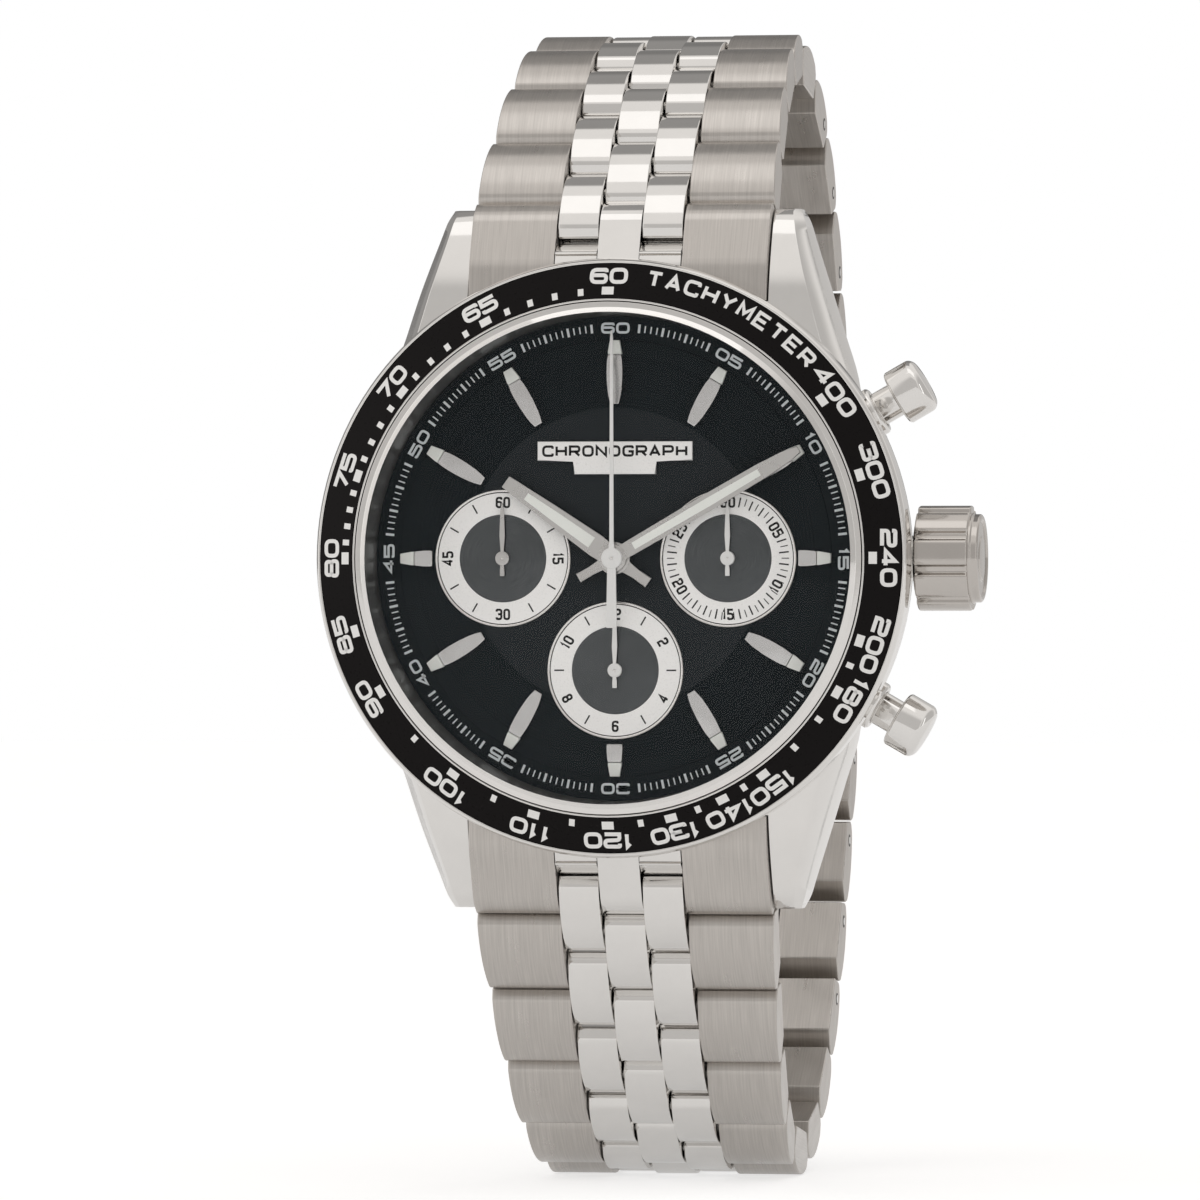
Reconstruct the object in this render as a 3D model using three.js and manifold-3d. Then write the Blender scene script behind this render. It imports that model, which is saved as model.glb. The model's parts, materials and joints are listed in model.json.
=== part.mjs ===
// Chronograph wristwatch on a closed five-column steel bracelet.
// Millimetres. The head is drawn lying on its back (x to 3 o'clock, y to 12 o'clock, z towards the
// crystal) and the whole group is then turned so that the dial stands upright and faces -Y.
// The origin is the centre of the case back's outer flat face.
import * as THREE from 'three';
import { mergeVertices } from 'three/addons/utils/BufferGeometryUtils.js';
import Module from 'manifold-3d';

const wasm = await Module();
wasm.setup();

// ---------------------------------------------------------------- driving dimensions, head
const CASE_R = 20.5;              // case flank
const BEZEL_R = 21.0;             // bezel ring, the widest round part
const CASE_TOP = 8.65;            // seat of the bezel
const CASE_BOTTOM = 0.9;
const CAVITY_R = 17.95;           // bore of the case middle
const BACK_R = 18.2;              // case back ring
const BACK_T = 1.85;
const BACK_GLASS_R = 15.0;
const BACK_GLASS_T = 1.2;
const BACK_LIP_R = 14.4;          // lip that holds the back glass
const DIAL_TOP = 8.9;
const DIAL_T = 0.5;
const DIAL_EDGE_GAP = 0.1;        // dial and flange to the bore of the case middle
const DIAL_OPENING_R = 17.0;      // foot of the sloped flange
const FLANGE_TOP = 10.9;
const INSERT_OUTER_R = 20.6;
const INSERT_INNER_R = 18.15;
const INSERT_OUTER_Z = 11.2;
const INSERT_INNER_Z = 12.35;
const INSERT_T = 0.7;
const CRYSTAL_R = 17.5;
const CRYSTAL_TOP = 13.85;
const CRYSTAL_T = 1.6;
const GASKET_T = 0.35;
const BACK_GASKET_T = 0.3;
const BACK_GASKET_W = 0.8;
const FIT = 0.05;                 // clearance of parts that are pressed or screwed together
const RUN = 0.07;                 // clearance of a shaft in its hole
const STEM_Z = 4.85;              // height of crown and pushers
const SUBDIAL_X = 8.0;
const SUBDIAL_Y = -7.85;
const SUBDIAL_R = 4.85;
const SUBDIAL_INNER_R = 3.1;

// ---------------------------------------------------------------- driving dimensions, lugs and bracelet
const LUG_GAP = 21.4;             // between the lugs
const LUG_TIP_Y = 24.7;
const LUG_TIP_W = 1.75;
const BAR_Y = 22.0;               // spring bars between the lugs
const BAR_Z = 3.0;
const BAR_R = 0.8;
const PITCH = 6.7;                // from one hinge of the bracelet to the next
const COLUMN = 3.0;               // each of the three inner columns
const SIDE_GAP = 0.12;            // between two columns
const END_GAP = 0.2;              // between two rows
const ROW_CLEARANCE = 0.5;        // lug gap less the width of the first row
const ROW_WIDTH = LUG_GAP - ROW_CLEARANCE;
const ROW_TAPER = 0.73;           // lost on each row until the end width
const ROW_END_LOSS = 2.6;         // how much narrower the last row is
const ROW_END_WIDTH = ROW_WIDTH - ROW_END_LOSS;
const LINK_IN = 1.6;              // hinge line to the flat inner face
const LINK_CROWN = 1.7;           // hinge line to the crown of the outer face
const LINK_EDGE = 0.75;           // hinge line to the ends of the outer face
const LINK_BEVEL = 0.85;          // inner bevel that lets a row bend
const PIN_R = 0.55;
const HINGE_Y = 23.4;             // hinge of the first row
const HINGE_Z = 5.2;
const END_LINK_DIR = 30;          // slope of the end link at its hinge, degrees
const CLASP_ARC = 16.1;           // half angle of the curved clasp
const CLASP_W = ROW_END_WIDTH - 0.3;
const CLASP_PIN_R = 0.35;
const BLADE_IN = -1.65;           // the folding blades lie between these two heights under the cover
const BLADE_OUT = -0.25;

// Direction of each row of the closed bracelet, in degrees from the plane of the dial.
const UPPER_DIRS = [46.4, 51.3, 62.2, 78.9, 99.3, 119.5, 136.6, 149.6, 158.4];
const LOWER_DIRS = [35.0, 36.8, 45.7, 61.2, 81.7, 104.4, 124.9, 139.3, 147.8, 153.3, 156.4];

const RAD = Math.PI / 180;
const RING_SEGMENTS = 36;
const MEDIUM_SEGMENTS = 20;
const SMALL_SEGMENTS = 12;
const TINY_SEGMENTS = 8;

// ---------------------------------------------------------------- materials
const finish = (color, metalness, roughness, extra = {}) => new THREE.MeshStandardMaterial({
  color, metalness, roughness, ...extra });
const MATERIALS = {
  brushed: () => finish(0xb9b6b1, 1, 0.38),
  polished: () => finish(0xd8d8d8, 1, 0.12),
  insert: () => finish(0x17181a, 0.1, 0.25),
  dial: () => finish(0x1c2326, 0.3, 0.4),
  silver: () => finish(0xdadcdc, 0.8, 0.35),
  white: () => finish(0xf2f2f0, 0, 0.5),
  glass: () => finish(0xeef4f6, 0, 0.02, { transparent: true, opacity: 0.35 }),
  rubber: () => finish(0x202020, 0, 0.7),
  plastic: () => finish(0x8d8f90, 0, 0.5),
  movement: () => finish(0xc9c3b6, 1, 0.3),
  gold: () => finish(0xcaa45a, 1, 0.3),
};

const watch = new THREE.Group();
watch.rotation.x = Math.PI / 2;

function addPart(name, geometry, material) {
  const mesh = new THREE.Mesh(geometry, MATERIALS[material]());
  mesh.name = name;
  watch.add(mesh);
}

// ---------------------------------------------------------------- geometry helpers
function positionsOnly(geometry) {
  const g = geometry.clone();
  g.deleteAttribute('normal');
  g.deleteAttribute('uv');
  return mergeVertices(g, 1e-5);
}

function volumeOf(geometry) {
  const g = positionsOnly(geometry);
  const [a, b, c] = [new THREE.Vector3(), new THREE.Vector3(), new THREE.Vector3()];
  let sum = 0;
  for (let i = 0; i < g.index.count; i += 3) {
    a.fromBufferAttribute(g.attributes.position, g.index.getX(i));
    b.fromBufferAttribute(g.attributes.position, g.index.getX(i + 1));
    c.fromBufferAttribute(g.attributes.position, g.index.getX(i + 2));
    sum += a.dot(b.cross(c));
  }
  return sum / 6;
}

// Ring or disc about z. The profile is [radius, z] points that close on themselves or end on the axis.
function lathe(profile, segments = RING_SEGMENTS) {
  const make = (points) => new THREE.LatheGeometry(
    points.map(([r, z]) => new THREE.Vector2(r, z)), segments);
  const onAxis = profile[0][0] === 0 && profile[profile.length - 1][0] === 0;
  const closed = onAxis ? profile : [...profile, profile[0]];
  let g = make(closed);
  if (volumeOf(g) < 0) g = make([...closed].reverse());
  return g.rotateX(Math.PI / 2);
}

function ring(inner, outer, z0, z1, segments) {
  return lathe([[inner, z0], [outer, z0], [outer, z1], [inner, z1]], segments);
}

function disc(r, z0, z1, segments) {
  return lathe([[0, z0], [r, z0], [r, z1], [0, z1]], segments);
}

function shapeOf(points, holes = []) {
  const shape = new THREE.Shape(points.map(([a, b]) => new THREE.Vector2(a, b)));
  holes.forEach((hole) => shape.holes.push(new THREE.Path(hole.map(([a, b]) => new THREE.Vector2(a, b)))));
  return shape;
}

// Plate in plan: x-y outline between two heights.
function plate(points, z0, z1, holes = []) {
  const g = new THREE.ExtrudeGeometry(shapeOf(points, holes), { depth: z1 - z0, bevelEnabled: false });
  return g.translate(0, 0, z0);
}

// Prism across the watch: y-z outline between two x positions.
const ACROSS = new THREE.Matrix4().makeBasis(
  new THREE.Vector3(0, 1, 0), new THREE.Vector3(0, 0, 1), new THREE.Vector3(1, 0, 0));
function prism(points, x0, x1, holes = []) {
  const g = new THREE.ExtrudeGeometry(shapeOf(points, holes), { depth: x1 - x0, bevelEnabled: false });
  return g.translate(0, 0, x0).applyMatrix4(ACROSS);
}

function circle(cx, cy, r, n, start = 0) {
  return Array.from({ length: n }, (_, i) => {
    const t = start + (2 * Math.PI * i) / n;
    return [cx + r * Math.cos(t), cy + r * Math.sin(t)];
  });
}

function solid(geometry) {
  const g = positionsOnly(geometry);
  return new wasm.Manifold(new wasm.Mesh({
    numProp: 3,
    vertProperties: new Float32Array(g.attributes.position.array),
    triVerts: new Uint32Array(g.index.array),
  }));
}

function geometryOf(manifold) {
  const mesh = manifold.getMesh();
  const g = new THREE.BufferGeometry();
  g.setAttribute('position', new THREE.BufferAttribute(new Float32Array(mesh.vertProperties), 3));
  g.setIndex(new THREE.BufferAttribute(new Uint32Array(mesh.triVerts), 1));
  return g;
}

const join = (...geometries) => geometries.map(solid).reduce((a, b) => a.add(b));
const cut = (body, ...tools) => tools.map(solid).reduce((a, b) => a.subtract(b), body);

// Geometry drawn about z, laid along the direction at `angle` in the plan, at crown height.
function radial(geometry, angle) {
  return geometry.rotateY(Math.PI / 2).rotateZ(angle * RAD).translate(0, 0, STEM_Z);
}

// ---------------------------------------------------------------- crown and pusher sizes
const TUBE_R = 1.6;
const TUBE_BORE = 1.05;
const TUBE_LENGTH = 3.0;
const STEM_R = TUBE_BORE - RUN;
const STEM_START = 12.9;
const CROWN_R = 3.7;
const CROWN_START = CASE_R + 0.45;
const CROWN_LENGTH = 3.8;
const CROWN_DISC_R = 3.1;
const CROWN_DISC_T = 0.7;
const CROWN_LOBES = 9;
const PUSHER_ANGLE = 30;
const PUSHER_STEM_R = 1.2;
const PUSHER_CAP_R = 2.0;
const PUSHER_CAP_START = CASE_R + 1.9;
const PUSHER_CAP_LENGTH = 2.5;
const PUSHER_INNER_END = CAVITY_R + 0.95;

// ---------------------------------------------------------------- case
function lugSolid(sx, sy) {
  const inner = LUG_GAP / 2;
  const root = CASE_R * 0.78;
  const plan = [
    [inner, 7], [inner, LUG_TIP_Y], [inner + LUG_TIP_W, LUG_TIP_Y],
    [root + 0.4, CASE_R * 0.62], [root + 1.1, CASE_R * 0.45], [root, 7],
  ].map(([x, y]) => [x * sx, y * sy]);
  const side = [
    [6, 2.6], [LUG_TIP_Y - 6, CASE_BOTTOM + 0.2], [LUG_TIP_Y - 1.2, 0.6], [LUG_TIP_Y + 0.1, 1.5],
    [LUG_TIP_Y + 0.1, 4.1], [LUG_TIP_Y - 1.0, 5.6], [LUG_TIP_Y - 4.8, 7.5], [LUG_TIP_Y - 9, 8.4],
    [6, CASE_TOP],
  ].map(([y, z]) => [y * sy, z]);
  return solid(plate(plan, 0, CASE_TOP)).intersect(solid(prism(side, -BEZEL_R, BEZEL_R)));
}

function caseMiddle() {
  const body = solid(lathe([
    [0, CASE_BOTTOM], [BACK_R + 0.6, CASE_BOTTOM], [CASE_R - 0.5, 2.5], [CASE_R, 4.0],
    [CASE_R, CASE_TOP - 0.9], [CASE_R - 0.35, CASE_TOP], [0, CASE_TOP],
  ]));
  const lugs = [[1, 1], [-1, 1], [-1, -1], [1, -1]].map(([sx, sy]) => lugSolid(sx, sy));
  const outer = lugs.reduce((a, b) => a.add(b), body);
  const cavity = lathe([
    [0, 0], [BACK_R + FIT, 0], [BACK_R + FIT, BACK_T + 0.03], [CAVITY_R, BACK_T + 0.03],
    [CAVITY_R, CASE_TOP + 1], [0, CASE_TOP + 1],
  ]);
  const pusherBores = [PUSHER_ANGLE, -PUSHER_ANGLE].map(
    (a) => radial(disc(PUSHER_STEM_R + RUN, 15, 25, SMALL_SEGMENTS), a));
  const barHole = LUG_GAP / 2 + 0.9;
  const barHoles = [1, -1].map((s) => prism(circle(BAR_Y * s, BAR_Z, BAR_R * 0.65, 8), -barHole, barHole));
  return geometryOf(cut(outer, cavity, radial(disc(TUBE_R + FIT, 15, 25, SMALL_SEGMENTS), 0),
    ...pusherBores, ...barHoles));
}

function head() {
  addPart('case_middle', caseMiddle(), 'polished');
  addPart('case_back', lathe([
    [BACK_GLASS_R + FIT, 0], [BACK_R - 0.6, 0], [BACK_R, 0.5], [BACK_R, BACK_T], [BACK_LIP_R, BACK_T],
    [BACK_LIP_R, BACK_GLASS_T + FIT], [BACK_GLASS_R + FIT, BACK_GLASS_T + FIT],
  ]), 'brushed');
  addPart('case_back_glass', disc(BACK_GLASS_R, 0, BACK_GLASS_T), 'glass');
  const backGasketTop = BACK_T + BACK_GASKET_T;
  addPart('case_back_gasket', ring(CAVITY_R - BACK_GASKET_W, CAVITY_R - FIT, BACK_T + FIT, backGasketTop),
    'rubber');
  const stemHole = radial(disc(STEM_R + RUN, STEM_START, CAVITY_R + 1, TINY_SEGMENTS), 0);
  const holder = ring(MOVEMENT_R + FIT, CAVITY_R - FIT, backGasketTop + FIT, DIAL_TOP - DIAL_T);
  addPart('movement_ring', geometryOf(cut(solid(holder), stemHole)), 'plastic');
  addPart('bezel_ring', lathe([
    [CAVITY_R, CASE_TOP], [BEZEL_R - 0.2, CASE_TOP], [BEZEL_R, CASE_TOP + 0.25], [BEZEL_R, 10.85],
    [BEZEL_R - 0.25, INSERT_OUTER_Z], [INSERT_OUTER_R + FIT, INSERT_OUTER_Z],
    [INSERT_OUTER_R + FIT, INSERT_OUTER_Z - INSERT_T - FIT],
    [INSERT_INNER_R - FIT, INSERT_INNER_Z - INSERT_T - FIT], [INSERT_INNER_R - FIT, INSERT_INNER_Z],
    [CAVITY_R, INSERT_INNER_Z],
  ]), 'polished');
  addPart('bezel_insert', lathe([
    [INSERT_INNER_R, INSERT_INNER_Z - INSERT_T], [INSERT_OUTER_R, INSERT_OUTER_Z - INSERT_T],
    [INSERT_OUTER_R, INSERT_OUTER_Z], [INSERT_INNER_R, INSERT_INNER_Z],
  ]), 'insert');
  addPart('crystal_gasket', ring(CRYSTAL_R + FIT, CRYSTAL_R + GASKET_T + FIT, FLANGE_TOP + FIT,
    INSERT_INNER_Z - 0.1), 'rubber');
  addPart('crystal', lathe([
    [0, CRYSTAL_TOP - CRYSTAL_T], [9, CRYSTAL_TOP - CRYSTAL_T - 0.3], [16.4, FLANGE_TOP + 0.35],
    [16.4, FLANGE_TOP + FIT], [CRYSTAL_R, FLANGE_TOP + FIT], [CRYSTAL_R, 12.5], [CRYSTAL_R - 0.4, 12.8],
    [9, CRYSTAL_TOP - 0.3], [0, CRYSTAL_TOP],
  ]), 'glass');
  addPart('dial_flange', lathe([
    [DIAL_OPENING_R, DIAL_TOP], [CAVITY_R - DIAL_EDGE_GAP, DIAL_TOP],
    [CAVITY_R - DIAL_EDGE_GAP, FLANGE_TOP],
    [DIAL_OPENING_R + 0.6, FLANGE_TOP],
  ]), 'insert');
}

// ---------------------------------------------------------------- dial
const HAND_PIPES = { hour: 0.95, minute: 0.6, seconds: 0.28 };
const PIPE_WALL = 0.28;
const SUB_PIN_R = 0.25;
const SUBDIALS = {
  small_seconds: [-SUBDIAL_X, 0],
  minute_counter: [SUBDIAL_X, 0],
  hour_counter: [0, SUBDIAL_Y],
};
const MINUTE_HAND_R = DIAL_OPENING_R - 1.6;
const SECONDS_HAND_R = DIAL_OPENING_R - 1.0;
const MARKER_TIP_R = DIAL_OPENING_R - 1.7;
const MARKER_LONG_START = MARKER_TIP_R - 4.5;
const MARKER_SHORT_START = MARKER_TIP_R - 2.3;
const MARKER_W = 1.15;
const MARKER_T = 0.4;
const SUBDIAL_RING_T = 0.1;
// Name plate: a wide bar with a narrower one below it.
const NAME_PLATE = { half: 5.5, lowerHalf: 2.9, top: 8.2, step: 6.85, bottom: 5.9, thickness: 0.3 };

function markerSolid(hour) {
  const start = hour % 3 === 0 && hour !== 0 ? MARKER_SHORT_START : MARKER_LONG_START;
  const swell = start + (MARKER_TIP_R - start) * 0.45;
  const shoulder = MARKER_TIP_R - 0.9;
  const outline = [
    [start, -0.15], [swell, -MARKER_W / 2], [shoulder, -MARKER_W / 2], [MARKER_TIP_R, -0.4],
    [MARKER_TIP_R, 0.4], [shoulder, MARKER_W / 2], [swell, MARKER_W / 2], [start, 0.15],
  ];
  const marker = plate(outline, DIAL_TOP - 0.1, DIAL_TOP + MARKER_T);
  return marker.rotateZ((90 - hour * 30) * RAD);
}

function dialParts() {
  const holes = [circle(0, 0, HAND_PIPES.hour + RUN, TINY_SEGMENTS)];
  Object.values(SUBDIALS).forEach(([x, y]) => holes.push(circle(x, y, SUB_PIN_R + RUN, TINY_SEGMENTS)));
  const rim = circle(0, 0, CAVITY_R - DIAL_EDGE_GAP, RING_SEGMENTS);
  const base = plate(rim, DIAL_TOP - DIAL_T, DIAL_TOP, holes);
  const markers = Array.from({ length: 12 }, (_, hour) => markerSolid(hour));
  addPart('dial', geometryOf(join(base, ...markers)), 'dial');
  Object.entries(SUBDIALS).forEach(([name, [x, y]]) => {
    const g = ring(SUBDIAL_INNER_R, SUBDIAL_R, DIAL_TOP, DIAL_TOP + SUBDIAL_RING_T, MEDIUM_SEGMENTS);
    addPart(`${name}_ring`, g.translate(x, y, 0), 'silver');
  });
  const { half, lowerHalf, top, step, bottom, thickness } = NAME_PLATE;
  const right = [[half, top], [half, step], [lowerHalf, step], [lowerHalf, bottom]];
  const left = right.map(([x, y]) => [-x, y]).reverse();
  addPart('dial_plate', plate([...right, ...left], DIAL_TOP, DIAL_TOP + thickness), 'silver');
}

// ---------------------------------------------------------------- hands
const SUB_HAND_Z = DIAL_TOP + 0.2;
const HOUR_HAND_Z = SUB_HAND_Z + 0.35;
const MINUTE_HAND_Z = HOUR_HAND_Z + 0.5;
const SECONDS_HAND_Z = MINUTE_HAND_Z + 0.45;
const HAND_T = 0.18;
const PIPE_FOOT = DIAL_TOP - DIAL_T - 0.6;

// Hand outline along +x from its hub: half widths at the tail, at the widest place and at the tip.
function handOutline(tail, tailHalf, length, widest, half, tipHalf) {
  return [
    [-tail, -tailHalf], [widest, -half], [length, -tipHalf], [length, tipHalf], [widest, half],
    [-tail, tailHalf],
  ];
}

function hand(name, outline, degrees, z, hubR, pipeR, boreR, material, centre = [0, 0]) {
  const blade = plate(outline, z, z + HAND_T).rotateZ((90 - degrees) * RAD);
  const hub = disc(hubR, z - 0.05, z + HAND_T + 0.06, SMALL_SEGMENTS);
  const pipe = disc(pipeR, PIPE_FOOT, z + 0.05, TINY_SEGMENTS);
  let body = join(blade, hub, pipe);
  if (boreR > 0) body = cut(body, disc(boreR, PIPE_FOOT - 1, z + 1, TINY_SEGMENTS));
  addPart(name, geometryOf(body).translate(centre[0], centre[1], 0), material);
}

function hands() {
  const { hour, minute, seconds } = HAND_PIPES;
  hand('hour_hand', handOutline(3.3, 0.45, 9.4, 7.2, 0.68, 0.25), 305, HOUR_HAND_Z, 1.45,
    hour, minute + RUN, 'polished');
  hand('minute_hand', handOutline(3.6, 0.42, MINUTE_HAND_R, 12.2, 0.6, 0.2), 60, MINUTE_HAND_Z, 1.25,
    minute, seconds + RUN, 'polished');
  const secondsOutline = handOutline(4.9, 0.33, SECONDS_HAND_R, 1.0, 0.16, 0.12);
  hand('chrono_seconds_hand', secondsOutline, 0, SECONDS_HAND_Z, 0.82,
    seconds, 0, 'white');
  const subOutline = handOutline(1.24, 0.17, 3.9, 1.8, 0.17, 0.09);
  const materials = { small_seconds: 'polished', minute_counter: 'white', hour_counter: 'white' };
  Object.entries(SUBDIALS).forEach(([name, centre]) => {
    hand(`${name}_hand`, subOutline, 0, SUB_HAND_Z, 0.45, SUB_PIN_R, 0, materials[name], centre);
  });
}

// ---------------------------------------------------------------- movement
const MOVEMENT_R = 15.0;
const ROTOR_Z0 = 1.5;
const ROTOR_Z1 = 2.5;
const BRIDGE_Z0 = 3.0;
const BRIDGE_Z1 = 6.0;
const BARREL = { x: -6.2, y: 5.0, r: 5.4 };
const BALANCE = { x: -5.6, y: -6.4, r: 4.6 };
const ROTOR_R = BACK_LIP_R - 0.6;
const ROTOR_WEIGHT_W = 3.4;
const ROTOR_POST_R = 0.9;
const ROTOR_HUB_R = 2.2;
const WHEEL_GAP = 0.2;            // barrel and balance to their openings in the bridge
const BALANCE_RIM_W = 0.6;
const COCK_T = 0.5;

function movement() {
  const plateHoles = [circle(0, 0, HAND_PIPES.hour + RUN, TINY_SEGMENTS)];
  Object.values(SUBDIALS).forEach(
    ([x, y]) => plateHoles.push(circle(x, y, SUB_PIN_R + RUN, TINY_SEGMENTS)));
  const plateRim = circle(0, 0, MOVEMENT_R, RING_SEGMENTS);
  addPart('main_plate', plate(plateRim, BRIDGE_Z1 + FIT, DIAL_TOP - DIAL_T - FIT, plateHoles), 'movement');
  const keywayStart = STEM_START - 0.6;
  const keywayEnd = MOVEMENT_R - 0.8;
  const keywayHalf = STEM_R + 0.3;
  const bridge = solid(plate(circle(0, 0, MOVEMENT_R - 0.4, RING_SEGMENTS), BRIDGE_Z0, BRIDGE_Z1, [
    circle(BARREL.x, BARREL.y, BARREL.r + WHEEL_GAP, MEDIUM_SEGMENTS),
    circle(BALANCE.x, BALANCE.y, BALANCE.r + WHEEL_GAP, MEDIUM_SEGMENTS),
    [[keywayStart, -keywayHalf], [keywayEnd, -keywayHalf], [keywayEnd, keywayHalf],
      [keywayStart, keywayHalf]],
  ]));
  const post = disc(ROTOR_POST_R, ROTOR_Z0 + 0.1, BRIDGE_Z0 + 0.2, SMALL_SEGMENTS);
  const cockFoot = BALANCE.y - BALANCE.r - 0.9;
  const balanceCock = plate([
    [BALANCE.x - 1.0, cockFoot], [BALANCE.x + 1.0, cockFoot],
    [BALANCE.x + 0.8, BALANCE.y + 1.2], [BALANCE.x - 0.8, BALANCE.y + 1.2],
  ], BRIDGE_Z0, BRIDGE_Z0 + COCK_T);
  const stemBore = radial(disc(STEM_R + RUN, keywayStart, MOVEMENT_R + 1, SMALL_SEGMENTS), 0);
  const bridgeBody = bridge.add(solid(post)).add(solid(balanceCock));
  addPart('train_bridge', geometryOf(cut(bridgeBody, stemBore)), 'movement');
  const barrel = disc(BARREL.r, BRIDGE_Z0 + 0.2, BRIDGE_Z1 - 0.1, MEDIUM_SEGMENTS);
  addPart('mainspring_barrel', barrel.translate(BARREL.x, BARREL.y, 0), 'gold');
  const rimZ = BRIDGE_Z0 + COCK_T + 0.4;
  const rim = ring(BALANCE.r - BALANCE_RIM_W, BALANCE.r, rimZ, rimZ + 0.6, MEDIUM_SEGMENTS);
  const armEnd = BALANCE.r - BALANCE_RIM_W / 2;
  const armHalf = 0.3;
  const arm = plate([[-armEnd, -armHalf], [armEnd, -armHalf], [armEnd, armHalf], [-armEnd, armHalf]],
    rimZ + 0.1, rimZ + 0.5);
  const staff = disc(0.35, rimZ - 0.3, BRIDGE_Z1, TINY_SEGMENTS);
  addPart('balance_wheel', geometryOf(join(rim, arm, staff)).translate(BALANCE.x, BALANCE.y, 0), 'gold');
  rotor();
}

function rotor() {
  const sector = (r0, r1, a0, a1, n) => {
    const turns = Array.from({ length: n + 1 }, (_, i) => (a0 + ((a1 - a0) * i) / n) * RAD);
    return [
      ...turns.map((t) => [r1 * Math.cos(t), r1 * Math.sin(t)]),
      ...turns.reverse().map((t) => [r0 * Math.cos(t), r0 * Math.sin(t)]),
    ];
  };
  const weightInner = ROTOR_R - ROTOR_WEIGHT_W;
  const weight = plate(sector(weightInner, ROTOR_R, 180, 360, 20), ROTOR_Z0, ROTOR_Z1);
  const web = plate(sector(0.5, weightInner + 0.4, 200, 340, 12), ROTOR_Z0 + 0.2, ROTOR_Z1 - 0.2);
  const hub = disc(ROTOR_HUB_R, ROTOR_Z0, ROTOR_Z1, 16);
  const bore = disc(ROTOR_POST_R + RUN, ROTOR_Z0 - 1, ROTOR_Z1 + 1, SMALL_SEGMENTS);
  addPart('rotor', geometryOf(cut(join(weight, web, hub), bore)), 'movement');
}

// ---------------------------------------------------------------- crown and pushers
function crownAndPushers() {
  const tube = ring(TUBE_BORE, TUBE_R, CAVITY_R + 0.1, CAVITY_R + TUBE_LENGTH, SMALL_SEGMENTS);
  addPart('crown_tube', radial(tube, 0), 'brushed');
  const stemEnd = CROWN_START + CROWN_LENGTH - 1.0;
  addPart('winding_stem', radial(disc(STEM_R, STEM_START, stemEnd, SMALL_SEGMENTS), 0), 'brushed');
  const lobe = (2 * Math.PI) / CROWN_LOBES;
  const rim = [];
  for (let i = 0; i < CROWN_LOBES; i += 1) {
    [[0.0, 1], [0.33, 1], [0.66, 1], [0.72, 0.9], [0.94, 0.9]].forEach(([f, k]) => {
      const t = (i + f) * lobe;
      rim.push([CROWN_R * k * Math.cos(t), CROWN_R * k * Math.sin(t)]);
    });
  }
  const gripEnd = CROWN_START + CROWN_LENGTH;
  const grip = plate(rim, CROWN_START, gripEnd);
  const end = disc(CROWN_DISC_R, gripEnd - 0.1, gripEnd + CROWN_DISC_T, 24);
  const skirt = disc(TUBE_R + 0.15, CROWN_START - 1, CROWN_START + 2.0, SMALL_SEGMENTS);
  const bore = disc(STEM_R + FIT, CROWN_START - 1, stemEnd + FIT, 12);
  addPart('crown', radial(geometryOf(cut(join(grip, end), skirt, bore)), 0), 'polished');
  Object.entries({ pusher_upper: PUSHER_ANGLE, pusher_lower: -PUSHER_ANGLE }).forEach(([name, angle]) => {
    const capEnd = PUSHER_CAP_START + PUSHER_CAP_LENGTH;
    addPart(name, radial(lathe([
      [0, PUSHER_INNER_END], [PUSHER_STEM_R, PUSHER_INNER_END], [PUSHER_STEM_R, PUSHER_CAP_START],
      [PUSHER_CAP_R, PUSHER_CAP_START], [PUSHER_CAP_R, capEnd - 0.4], [PUSHER_CAP_R - 0.3, capEnd - 0.1],
      [0, capEnd],
    ], 20), angle), 'polished');
  });
}

// ---------------------------------------------------------------- bracelet
const hex = (u, v, r) => circle(u, v, r, 6, Math.PI / 6);
const boreFor = (pinR) => (pinR + RUN) / Math.cos(Math.PI / 6);
const BORE_R = boreFor(PIN_R);
const DOME_R = ((PITCH / 2) ** 2 + (LINK_CROWN - LINK_EDGE) ** 2) / (2 * (LINK_CROWN - LINK_EDGE));
const INNER_EDGE = COLUMN * 1.5;

// Side outline of one link between two stations of its row, domed outside and bevelled inside.
function linkOutline(u0, u1) {
  const mid = (u0 + u1) / 2;
  const half = (u1 - u0) / 2;
  const dome = [-1, -0.45, 0.45, 1].map((k) => {
    const d = k * half;
    return [mid + d, LINK_CROWN - DOME_R + Math.sqrt(DOME_R ** 2 - d ** 2)];
  }).reverse();
  return [[u0 + LINK_BEVEL, -LINK_IN], [u1 - LINK_BEVEL, -LINK_IN], [u1, 0], ...dome, [u0, 0]];
}

// Half width of the strand at a station counted in pitches from its first row.
function halfWidth(stations) {
  return Math.max(ROW_WIDTH - ROW_TAPER * stations, ROW_END_WIDTH) / 2;
}

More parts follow.
